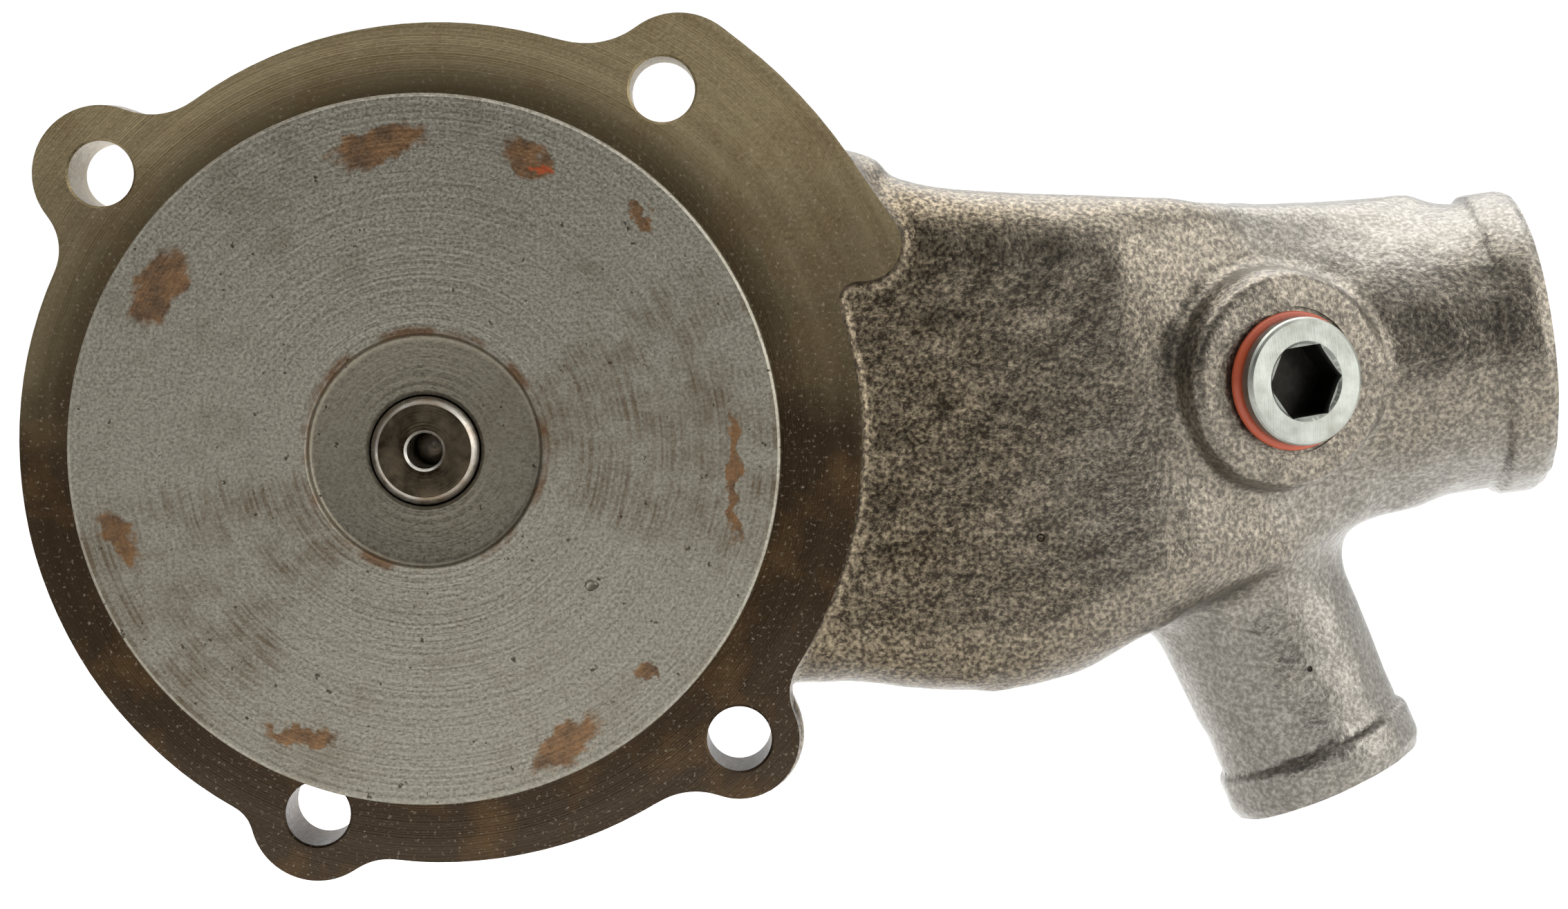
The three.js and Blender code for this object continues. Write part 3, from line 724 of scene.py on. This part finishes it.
def make_bearing_seal(node):
    """A moulded ring with a groove on each face."""
    low, high = (corner.z for corner in span(node))
    inner, outer = SHAFT_R + GAP, LAND_R - 0.2
    profile = [
        (inner, low),
        (inner + 0.6, low),
        (inner + 1, low + 0.4),
        (outer - 1, low + 0.4),
        (outer - 0.7, low),
        (outer, low),
        (outer, high),
        (outer - 0.7, high),
        (outer - 1, high - 0.4),
        (inner + 1, high - 0.4),
        (inner + 0.6, high),
        (inner, high),
    ]
    return sharpen(turned("bearing_seal", profile, 96), 30)


def row_place(row, step):
    """Where a row's ball or roller sits, `step` places round the shaft."""
    return Matrix.Translation((*polar(row["pitch"], 360 * step / row["count"]), row["z"]))


def make_ball(index):
    return turned("ball", arc(0, 0, BALLS["r"], -90, 90, 7.5), 32, row_place(BALLS, index))


def make_roller(index):
    end, r = ROLLERS["long"] / 2, ROLLERS["r"]
    profile = [(0, -end), (r - 0.3, -end), (r, -end + 0.3), (r, end - 0.3), (r - 0.3, end), (0, end)]
    return sharpen(turned("roller", profile, 32, row_place(ROLLERS, index + 0.5)), 30)


def make_ball_cage():
    cage = rod(CAGE_R, BALLS["z"] - 4.6, BALLS["z"] + 4.6, 96, 11)
    pocket = BALLS["r"] + GAP + 0.02
    angles = [360 * i / BALLS["count"] for i in range(BALLS["count"])]
    places = [axis_at((0, 0, BALLS["z"]), (*polar(1, angle), 0)) for angle in angles]
    return sharpen(cut(cage, [moved(rod(pocket, 8, 16, 32), place) for place in places]), 30)


def make_roller_cage():
    half = ROLLERS["long"] / 2 + GAP
    cage = rod(CAGE_R, ROLLERS["z"] - 8.2, ROLLERS["z"] + 8.2, 96, 10.9)
    places = [row_place(ROLLERS, i + 0.5) for i in range(ROLLERS["count"])]
    pockets = [moved(rod(ROLLERS["r"] + 0.25, -half, half, 32), place) for place in places]
    return sharpen(cut(cage, pockets), 30)


def make_retaining_ring():
    """A spring-steel ring with a gap, and an eye for the pliers at each end."""
    low, high = (corner.z for corner in span("retaining_ring"))
    ring = rod(RETAINING_RING["outer"], low, high, 160, RETAINING_RING["inner"])
    cut(ring, [prism("opening", [(-7, -26), (7, -26), (7, -12), (-7, -12)], low - 1, high + 1)])
    x, y = RETAINING_RING["eye"]
    places = [Matrix.Translation((side * x, y, 0)) for side in (-1, 1)]
    cut(ring, [moved(rod(RETAINING_RING["eye_r"], low, high, 48), place) for place in places], "UNION")
    holes = [moved(rod(RETAINING_RING["hole_r"], low - 1, high + 1, 32), place) for place in places]
    return sharpen(cut(ring, holes), 30)


# ---- plug ----------------------------------------------------------------------------------------


def make_plug():
    low, top, rim, thread = PLUG["low"], PLUG["top"], PLUG["r"], PLUG["thread_r"]
    profile = [
        (0, low - 15),
        (thread - 0.9, low - 15),
        (thread, low - 14),
        (thread, low),
        (rim - 0.4, low),
        (rim, low + 0.4),
        (rim, top - 0.7),
        (rim - 0.25, top - 0.25),
        (rim - 0.7, top),
        (0, top),
    ]
    plug = turned("socket_plug", profile, 128)
    corner = PLUG["across_flats"] / math.sqrt(3)
    hexagon = [polar(corner, 60 * i + PLUG["turn"]) for i in range(6)]
    sink = [
        (0, top - 0.5),
        (corner - 0.5, top - 0.5),
        (corner + 0.2, top + 0.2),
        (0, top + 0.2),
    ]
    cut(plug, [prism("socket", hexagon, top - PLUG["deep"], top + 1), turned("sink", sink, 96)])
    sharpen(plug, 25)
    for face in plug.data.polygons:
        at = 1000 * face.center
        in_socket = math.hypot(at.x, at.z) < corner and top - PLUG["deep"] - 0.5 < -at.y < top - 0.2
        face.material_index = int(in_socket)
    return moved(plug, BOSS_PLACE)


def make_washer():
    low, inner, half = WASHER["low"], WASHER["inner"], WASHER["thick"] / 2
    profile = [(inner, low), *arc(PLUG["r"], low + half, half, -90, 90, 15), (inner, low + 2 * half)]
    return sharpen(turned("sealing_washer", profile, 128, BOSS_PLACE), 30)


# ---- materials -----------------------------------------------------------------------------------


class Look:
    """A procedural material, built node by node."""

    def __init__(self, name, metallic, anisotropic=0, coat=0):
        self.material = bpy.data.materials.new(name)
        self.material.use_nodes = True
        self.tree = self.material.node_tree
        self.shader = self.tree.nodes["Principled BSDF"]
        self.shader.inputs["Metallic"].default_value = metallic
        self.shader.inputs["Anisotropic"].default_value = anisotropic
        self.shader.inputs["Coat Weight"].default_value = coat
        self.shader.inputs["Coat Roughness"].default_value = 0.35
        self.place = self.node("ShaderNodeTexCoord").outputs["Object"]
        if anisotropic:
            about_shaft = self.node("ShaderNodeTangent", direction_type="RADIAL", axis="Y")
            self.feed(self.shader.inputs["Tangent"], about_shaft.outputs[0])

    def node(self, kind, inputs=None, **settings):
        made = self.tree.nodes.new(kind)
        for key, value in settings.items():
            setattr(made, key, value)
        for key, value in (inputs or {}).items():
            self.feed(made.inputs[key], value)
        return made

    def feed(self, socket, value):
        if isinstance(value, bpy.types.NodeSocket):
            self.tree.links.new(value, socket)
        else:
            socket.default_value = value

    def math(self, operation, *values):
        made = self.node("ShaderNodeMath", operation=operation)
        for socket, value in zip(made.inputs, values):
            self.feed(socket, value)
        return made.outputs[0]

    def noise(self, size, detail=4, roughness=0.6, place=None):
        """Values from 0 to 1 with features of about `size` millimetres."""
        inputs = {
            "Vector": place or self.place,
            "Scale": 1000 / size,
            "Detail": detail,
            "Roughness": roughness,
        }
        return self.node("ShaderNodeTexNoise", inputs).outputs["Fac"]

    def stretch(self, value, low, high, new_low=0.0, new_high=1.0):
        inputs = {"Value": value, "From Min": low, "From Max": high, "To Min": new_low, "To Max": new_high}
        return self.node("ShaderNodeMapRange", inputs).outputs[0]

    def mix(self, share, a, b):
        made = self.node("ShaderNodeMix", data_type="RGBA")
        for socket, value in zip((made.inputs[0], made.inputs[6], made.inputs[7]), (share, a, b)):
            self.feed(socket, (*value, 1) if isinstance(value, tuple) else value)
        return made.outputs[2]

    def rings(self, pitch, detail=2):
        """Grooves about the shaft's axis, from 0 to 1, and the radius in metres."""
        parts = self.node("ShaderNodeSeparateXYZ", {"Vector": self.place})
        squares = [self.math("MULTIPLY", parts.outputs[k], parts.outputs[k]) for k in ("X", "Z")]
        radius = self.math("SQRT", self.math("ADD", *squares))
        inputs = {"W": radius, "Scale": 1000 / pitch, "Detail": detail}
        return self.node("ShaderNodeTexNoise", inputs, noise_dimensions="1D").outputs["Fac"], radius

    def bump(self, height, millimetres, normal=None):
        inputs = {"Height": height, "Distance": millimetres / 1000, "Strength": 1.0}
        if normal:
            inputs["Normal"] = normal
        return self.node("ShaderNodeBump", inputs).outputs["Normal"]

    def blot(self, x, z, long, wide, degrees, ragged):
        """1 inside an ellipse on a face across the shaft, with ragged edges."""
        mapping = {
            "Vector": ragged,
            "Location": (x / 1000, 0, z / 1000),
            "Rotation": (0, -math.radians(degrees), 0),
            "Scale": (long / 1000, 1, wide / 1000),
        }
        flat = self.node("ShaderNodeMapping", mapping, vector_type="TEXTURE").outputs[0]
        length = self.node("ShaderNodeVectorMath", {0: flat}, operation="LENGTH").outputs["Value"]
        return self.stretch(length, 1.12, 0.82)

    def sector(self, middle, half):
        """1 in a sector about the shaft, given in degrees, with an edge that frays along the grooves."""
        parts = self.node("ShaderNodeSeparateXYZ", {"Vector": self.place})
        bearing = self.math("ARCTAN2", parts.outputs["Z"], parts.outputs["X"])
        off = self.math("ABSOLUTE", self.math("SUBTRACT", bearing, math.radians(middle)))
        fray = self.math("MULTIPLY", self.math("SUBTRACT", self.rings(1.3)[0], 0.5), 0.3)
        return self.stretch(self.math("ADD", off, fray), math.radians(half) + 0.04, math.radians(half) - 0.08)

    def streaks(self):
        """Darker grooves in patches, from 0 to 1, which give the painted shade on the impeller's wedges its
        grain.
        """
        lines = self.stretch(self.rings(0.8, 1)[0], 0.42, 0.62)
        patchy = self.stretch(self.noise(7, 5, 0.7), 0.4, 0.62)
        return self.math("MULTIPLY", self.math("MULTIPLY_ADD", lines, 0.65, 0.35), patchy)

    def finish(self, colour, roughness, normal):
        self.feed(self.shader.inputs["Base Color"], colour)
        self.feed(self.shader.inputs["Roughness"], roughness)
        self.feed(self.shader.inputs["Normal"], normal)
        return self.material


def cast_look():
    """Sand-cast iron: brown, with painted shade on its engine side near the flange, greyer up the arm and
    away from the engine.
    """
    look = Look("sand_cast_iron", 0.92, coat=0.3)
    grain = look.noise(0.8, 3, 0.6)
    cloud = look.math("MULTIPLY", look.math("SUBTRACT", look.noise(22, 3), 0.5), 0.05)
    parts = look.node("ShaderNodeSeparateXYZ", {"Vector": look.place})
    # Painted shade: the iron is darkened near the flange on its engine side, and lightens up the arm and away
    # from the engine.
    up_the_arm = look.stretch(look.math("ADD", parts.outputs["X"], cloud), 0.08, 0.13, 0, 0.5)
    behind = look.stretch(look.math("MULTIPLY_ADD", cloud, 0.3, parts.outputs["Y"]), 0.01, 0.025)
    painted_light = look.math("MAXIMUM", up_the_arm, behind)
    sand = look.stretch(grain, 0.4, 0.72)
    # The dark grain's tone runs from the painted shade's brown to grey, and the bright grain's a little.
    dark = look.mix(painted_light, (0.036, 0.024, 0.012), (0.145, 0.133, 0.112))
    bright = look.mix(painted_light, (0.32, 0.26, 0.17), (0.33, 0.308, 0.27))
    colour = look.mix(sand, dark, bright)
    roughness = look.stretch(look.noise(3, 2), 0.3, 0.7, 0.28, 0.4)
    normal = look.bump(look.noise(4.5, 2), 0.4)
    return look.finish(colour, roughness, look.bump(grain, 0.16, normal))


def machined_look():
    """The face-turned flange: brown with old oil, with painted light towards the top and a little at the
    bottom, painted shade next to the impeller, and fine rings and specks.
    """
    look = Look("machined_flange", 0.9, 0.5)
    fine, radius = look.rings(0.35)
    wide, _ = look.rings(2.5)
    height = look.node("ShaderNodeSeparateXYZ", {"Vector": look.place}).outputs["Z"]
    cloud = look.math("MULTIPLY", look.math("SUBTRACT", look.noise(26, 4), 0.5), 0.05)
    level = look.math("ADD", height, cloud)
    speck = look.stretch(look.noise(0.7, 2), 0.6, 0.72)
    base = look.mix(wide, (0.031, 0.019, 0.01), (0.05, 0.032, 0.017))
    # Painted light: the lighter tone that the top of the flange is given.
    painted_light = look.mix(wide, (0.25, 0.195, 0.105), (0.37, 0.3, 0.175))
    # Painted light: a slightly lighter tone for the bottom of the flange.
    wear_and_painted_low_light = look.mix(wide, (0.048, 0.033, 0.021), (0.076, 0.054, 0.035))
    # The flange is lightened by height, a little at the bottom and more at the top: painted light.
    base = look.mix(look.stretch(level, -0.03, -0.06), base, wear_and_painted_low_light)
    base = look.mix(look.stretch(level, 0.0, 0.055), base, painted_light)
    # Painted shade: a darker band on the flange next to the impeller's rim.
    inner = look.math("MULTIPLY", look.stretch(radius, 0.067, 0.0615), 0.55)
    base = look.mix(inner, base, (0.04, 0.024, 0.012))
    smudge = look.stretch(look.noise(14, 4), 0.5, 0.75)
    base = look.mix(look.math("MULTIPLY", smudge, 0.5), base, (0.16, 0.09, 0.035))
    colour = look.mix(look.math("MULTIPLY", speck, 0.5), base, (0.4, 0.35, 0.26))
    roughness = look.stretch(look.noise(0.7, 2), 0.3, 0.7, 0.38, 0.52)
    normal = look.bump(look.noise(0.8, 2), 0.06, look.bump(fine, 0.05))
    return look.finish(colour, roughness, normal)


# Stains on the impeller's face: x, z, half length, half width and turn, in millimetres and degrees
STAINS = [
    (-7.1, 50.3, 8, 3, 12),
    (17.6, 48, 4.2, 2.6, -42),
    (-43.6, 27.2, 7, 3.6, 58),
    (-50.1, -14.2, 5.5, 2.6, -65),
    (-20.3, -47.7, 6.2, 1.7, -4),
    (23.4, -48.6, 6.6, 3.2, 38),
    (50.9, -4.6, 11, 1.2, 90),
    (35.9, 38.5, 2.6, 1.3, -38),
    (36.5, -36, 1.9, 1.3, 0),
]


def disc_look():
    """The turned impeller: light grey iron with rings, pores and rust stains, and painted shade in darker
    grooves on two wedges at its left and right.
    """
    look = Look("turned_impeller_iron", 0.85, 0.5)
    fine, radius = look.rings(0.8, 1)
    wide, _ = look.rings(5)
    wobble = look.node("ShaderNodeTexNoise", {"Vector": look.place, "Scale": 320, "Detail": 5})
    offset = look.node(
        "ShaderNodeVectorMath",
        {0: wobble.outputs["Color"], 1: (0.5, 0.5, 0.5)},
        operation="SUBTRACT",
    )
    push = look.node("ShaderNodeVectorMath", {0: offset.outputs[0], "Scale": 0.007}, operation="SCALE")
    shifted = look.node("ShaderNodeVectorMath", {0: look.place, 1: push.outputs[0]}, operation="ADD")
    ragged = shifted.outputs[0]
    stain = 0.0
    for blot in STAINS:
        stain = look.math("MAXIMUM", stain, look.blot(*blot, ragged))
    red = look.blot(19.4, 46.4, 2, 0.6, -40, ragged)
    speck = look.stretch(look.noise(0.55, 2), 0.36, 0.64)
    smear = look.stretch(look.noise(16, 5, 0.7), 0.52, 0.68)
    recess = look.stretch(radius, 0.0199, 0.0194)
    base = look.mix(wide, (0.18, 0.166, 0.128), (0.24, 0.225, 0.18))
    base = look.mix(look.math("MULTIPLY", speck, 0.42), base, (0.52, 0.49, 0.41))
    base = look.mix(look.math("MULTIPLY", smear, 0.35), base, (0.13, 0.098, 0.058))
    base = look.mix(look.math("MULTIPLY", recess, 0.6), base, (0.11, 0.092, 0.062))
    outside = look.math("SUBTRACT", 1.0, recess)
    # Painted shade: two wedges at the disc's left and right, where its turned face reflects less light,
    # darkened along the grooves.
    sectors = look.math("MAXIMUM", look.sector(7, 28), look.sector(-148, 23))
    painted_wedge_shade = look.math("MULTIPLY", look.math("MULTIPLY", sectors, look.streaks()), outside)
    base = look.mix(look.math("MULTIPLY", painted_wedge_shade, 0.75), base, (0.105, 0.07, 0.036))
    pores = look.stretch(look.noise(1.7, 2), 0.69, 0.74)
    base = look.mix(look.math("MULTIPLY", pores, 0.8), base, (0.03, 0.02, 0.011))
    rim = look.math("ABSOLUTE", look.math("SUBTRACT", radius, 0.0199))
    rim = look.math("MULTIPLY", look.stretch(rim, 0.0011, 0.0004), look.stretch(look.noise(9, 3), 0.45, 0.6))
    base = look.mix(look.math("MULTIPLY", rim, 0.8), base, (0.12, 0.055, 0.02))
    flakes = look.stretch(look.noise(3.5, 4, 0.7), 0.34, 0.66)
    rust = look.mix(flakes, (0.085, 0.042, 0.018), (0.27, 0.135, 0.052))
    colour = look.mix(look.math("MULTIPLY", stain, 0.85), base, rust)
    colour = look.mix(red, colour, (0.42, 0.1, 0.04))
    roughness = look.stretch(speck, 0, 1, 0.38, 0.5)
    normal = look.bump(look.noise(0.6, 2), 0.07, look.bump(fine, 0.045))
    return look.finish(colour, roughness, look.bump(look.math("SUBTRACT", 1.0, pores), 0.25, normal))


def metal_look(name, colour, wear_and_painted_low_light, roughness, metallic=1.0):
    """A smoother metal with faint scratches, and patches of wear in a second tone."""
    look = Look(name, metallic, 0.3)
    fine, _ = look.rings(0.3)
    patch = look.stretch(look.noise(5, 4), 0.35, 0.7)
    tone = look.mix(patch, colour, wear_and_painted_low_light)
    rough = look.stretch(look.noise(2, 3), 0.3, 0.7, roughness - 0.07, roughness + 0.1)
    return look.finish(tone, rough, look.bump(look.noise(1.2, 3), 0.03, look.bump(fine, 0.02)))


def socket_look():
    """Zinc with painted shade, dull and black, down in the plug's socket."""
    look = Look("socket_painted_shade", 0.9)
    from_boss = look.node(
        "ShaderNodeVectorMath",
        {0: look.place, 1: to_frame([BOSS["at"]])[0]},
        operation="SUBTRACT",
    )
    along = look.node(
        "ShaderNodeVectorMath",
        {0: from_boss.outputs[0], 1: Vector(to_frame([BOSS_AXIS])[0]).normalized()},
        operation="DOT_PRODUCT",
    )
    # Painted shade: the socket is darkened with depth, down to black.
    depth = look.stretch(along.outputs["Value"], PLUG["top"] / 1000, (PLUG["top"] - 2.5) / 1000)
    patch = look.math("MULTIPLY", look.noise(1.5, 3), 0.3)
    black = look.mix(look.noise(1.2, 3), (0.006, 0.006, 0.005), (0.03, 0.028, 0.024))
    colour = look.mix(look.math("ADD", depth, patch), (0.3, 0.31, 0.28), black)
    return look.finish(colour, 0.42, look.bump(look.noise(0.8, 2), 0.04))


def plain_look(name, colour, wear_and_painted_low_light, roughness, grain=0.6):
    """Rubber, plastic, ceramic or carbon, with a fine grain."""
    look = Look(name, 0.0)
    tone = look.mix(look.noise(4, 4), colour, wear_and_painted_low_light)
    rough = look.stretch(look.noise(1.5, 3), 0.3, 0.7, roughness - 0.08, roughness + 0.08)
    return look.finish(tone, rough, look.bump(look.noise(grain, 3), 0.05))


LOOKS = {
    "cast_iron": cast_look(),
    "machined": machined_look(),
    "turned_iron": disc_look(),
    "steel": metal_look("ground_steel", (0.42, 0.4, 0.36), (0.2, 0.15, 0.1), 0.3),
    "spring_steel": metal_look("spring_steel", (0.13, 0.12, 0.11), (0.24, 0.2, 0.15), 0.35),
    "oily_steel": metal_look("oily_shaft_end", (0.018, 0.012, 0.007), (0.12, 0.095, 0.062), 0.38),
    "zinc": metal_look("zinc_plate", (0.4, 0.415, 0.375), (0.27, 0.275, 0.24), 0.38),
    "socket_painted_shade": socket_look(),
    "hub_iron": metal_look("turned_hub_iron", (0.36, 0.34, 0.3), (0.2, 0.15, 0.1), 0.4),
    "sealing_red": plain_look("sealing_washer_red", (0.46, 0.08, 0.025), (0.3, 0.05, 0.02), 0.42),
    "rubber": plain_look("black_rubber", (0.02, 0.02, 0.021), (0.035, 0.034, 0.033), 0.75),
    "brass": metal_look("pressed_brass", (0.62, 0.43, 0.17), (0.4, 0.26, 0.1), 0.35),
    "ceramic": plain_look("lapped_ceramic", (0.8, 0.78, 0.72), (0.7, 0.67, 0.6), 0.25),
    "carbon": plain_look("carbon", (0.03, 0.03, 0.032), (0.05, 0.05, 0.05), 0.4),
    "cage_plastic": plain_look("cage_plastic", (0.22, 0.11, 0.04), (0.15, 0.08, 0.035), 0.5),
}


# ---- putting the pump together -------------------------------------------------------------------


def stand_for(piece, node, body, slot, *looks):
    """The piece takes a CAD node's place, on its body."""
    for look in looks:
        piece.data.materials.append(LOOKS[look])
    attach(piece, body)
    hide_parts(node)


def dress_cad_nodes():
    """The CAD nodes that stay get the looks of their record's slots."""
    slots = {part["node"]: part["material_slot"] for part in frame["record"]["subparts"]}
    for name, node in frame["nodes"].items():
        node.data.materials.clear()
        node.data.materials.append(LOOKS[slots[name]])


def fit_bearing():
    stand_for(make_outer_ring(), "bearing_outer_ring", "housing", "steel", "steel")
    stand_for(make_retaining_ring(), "retaining_ring", "housing", "steel", "spring_steel")
    for node in ("bearing_seal_rear", "bearing_seal_front"):
        stand_for(make_bearing_seal(node), node, "housing", "rubber", "rubber")
    stand_for(make_ball_cage(), "ball_cage", "ball_set", "cage_plastic", "cage_plastic")
    stand_for(make_roller_cage(), "roller_cage", "roller_set", "cage_plastic", "cage_plastic")
    for i in range(BALLS["count"]):
        stand_for(make_ball(i), f"bearing_ball_{i + 1}", "ball_set", "steel", "steel")
    for i in range(ROLLERS["count"]):
        stand_for(make_roller(i), f"bearing_roller_{i + 1}", "roller_set", "steel", "steel")


def assemble():
    dress_cad_nodes()
    fit_bearing()
    stand_for(make_housing(), "pump_housing", "housing", "cast_iron", "cast_iron", "machined")
    stand_for(make_impeller(), "impeller", "rotor", "turned_iron", "turned_iron")
    stand_for(make_shaft(), "pump_shaft", "rotor", "steel", "steel", "oily_steel")
    stand_for(make_hub(), "pulley_hub", "rotor", "turned_iron", "hub_iron")
    stand_for(make_plug(), "hex_plug", "housing", "zinc", "zinc", "socket_painted_shade")
    stand_for(make_washer(), "plug_washer", "housing", "sealing_red", "sealing_red")


# ---- studio --------------------------------------------------------------------------------------


def area_light(name, place, target, size, power):
    light = bpy.data.lights.new(name, "AREA")
    light.shape, light.size, light.size_y, light.energy = "RECTANGLE", *size, power
    lamp = bpy.data.objects.new(name, light)
    lamp.location = place
    lamp.rotation_euler = (Vector(target) - Vector(place)).to_track_quat("-Z", "Y").to_euler()
    bpy.context.scene.collection.objects.link(lamp)


def make_floor():
    half, z = FLOOR["half"], FLOOR["z"]
    corners = [(-half, -half, z), (half, -half, z), (half, half, z), (-half, half, z)]
    mesh = bpy.data.meshes.new("floor")
    mesh.from_pydata(corners, [], [(0, 1, 2, 3)])
    floor = bpy.data.objects.new("floor", mesh)
    look = Look("pale_floor", 0.0)
    tone = look.mix(look.noise(400, 2), (0.9, 0.9, 0.9), (0.94, 0.94, 0.94))
    mesh.materials.append(look.finish(tone, 0.9, look.bump(look.noise(3, 2), 0.02)))
    bpy.context.scene.collection.objects.link(floor)


def make_world():
    """White behind and above the pump, and dim in front of it and low on its left."""
    world = bpy.data.worlds.new("studio")
    world.use_nodes = True
    nodes, links = world.node_tree.nodes, world.node_tree.links
    direction = nodes.new("ShaderNodeTexCoord")
    away = nodes.new("ShaderNodeVectorMath")
    away.operation = "DOT_PRODUCT"
    away.inputs[1].default_value = Vector((0.33, 0.88, 0.33)).normalized()
    links.new(direction.outputs["Generated"], away.inputs[0])
    fall = nodes.new("ShaderNodeMapRange")
    fall.interpolation_type = "SMOOTHSTEP"
    for key, value in {"From Min": -0.95, "From Max": 0.3, "To Min": 0.01, "To Max": 1.15}.items():
        fall.inputs[key].default_value = value
    links.new(away.outputs["Value"], fall.inputs["Value"])
    rays = nodes.new("ShaderNodeLightPath")
    seen = nodes.new("ShaderNodeMix")
    seen.inputs[3].default_value = 1.15
    links.new(rays.outputs["Is Camera Ray"], seen.inputs[0])
    links.new(fall.outputs[0], seen.inputs[2])
    links.new(seen.outputs[0], nodes["Background"].inputs["Strength"])
    nodes["Background"].inputs["Color"].default_value = (1, 1, 1, 1)
    bpy.context.scene.world = world


def make_camera():
    """At the photograph's viewing angle, on the engine's side of the pump."""
    data = bpy.data.cameras.new("camera")
    data.lens = CAMERA["lens"]
    camera = bpy.data.objects.new("camera", data)
    camera.location = CAMERA["at"]
    direction = Vector(CAMERA["towards"]) - camera.location
    camera.rotation_euler = direction.to_track_quat("-Z", "Y").to_euler()
    bpy.context.scene.collection.objects.link(camera)
    bpy.context.scene.camera = camera


def make_studio():
    make_world()
    make_floor()
    for name, place, size, power in LAMPS:
        area_light(name, place, CENTRE, size, power)
    area_light("wash", (0.06, 0.9, 1.6), (0.06, 0.9, 0), (2.6, 2.2), 45)
    bpy.context.scene.view_settings.view_transform = "Standard"


assemble()
make_studio()
make_camera()

bpy.context.view_layer.update()
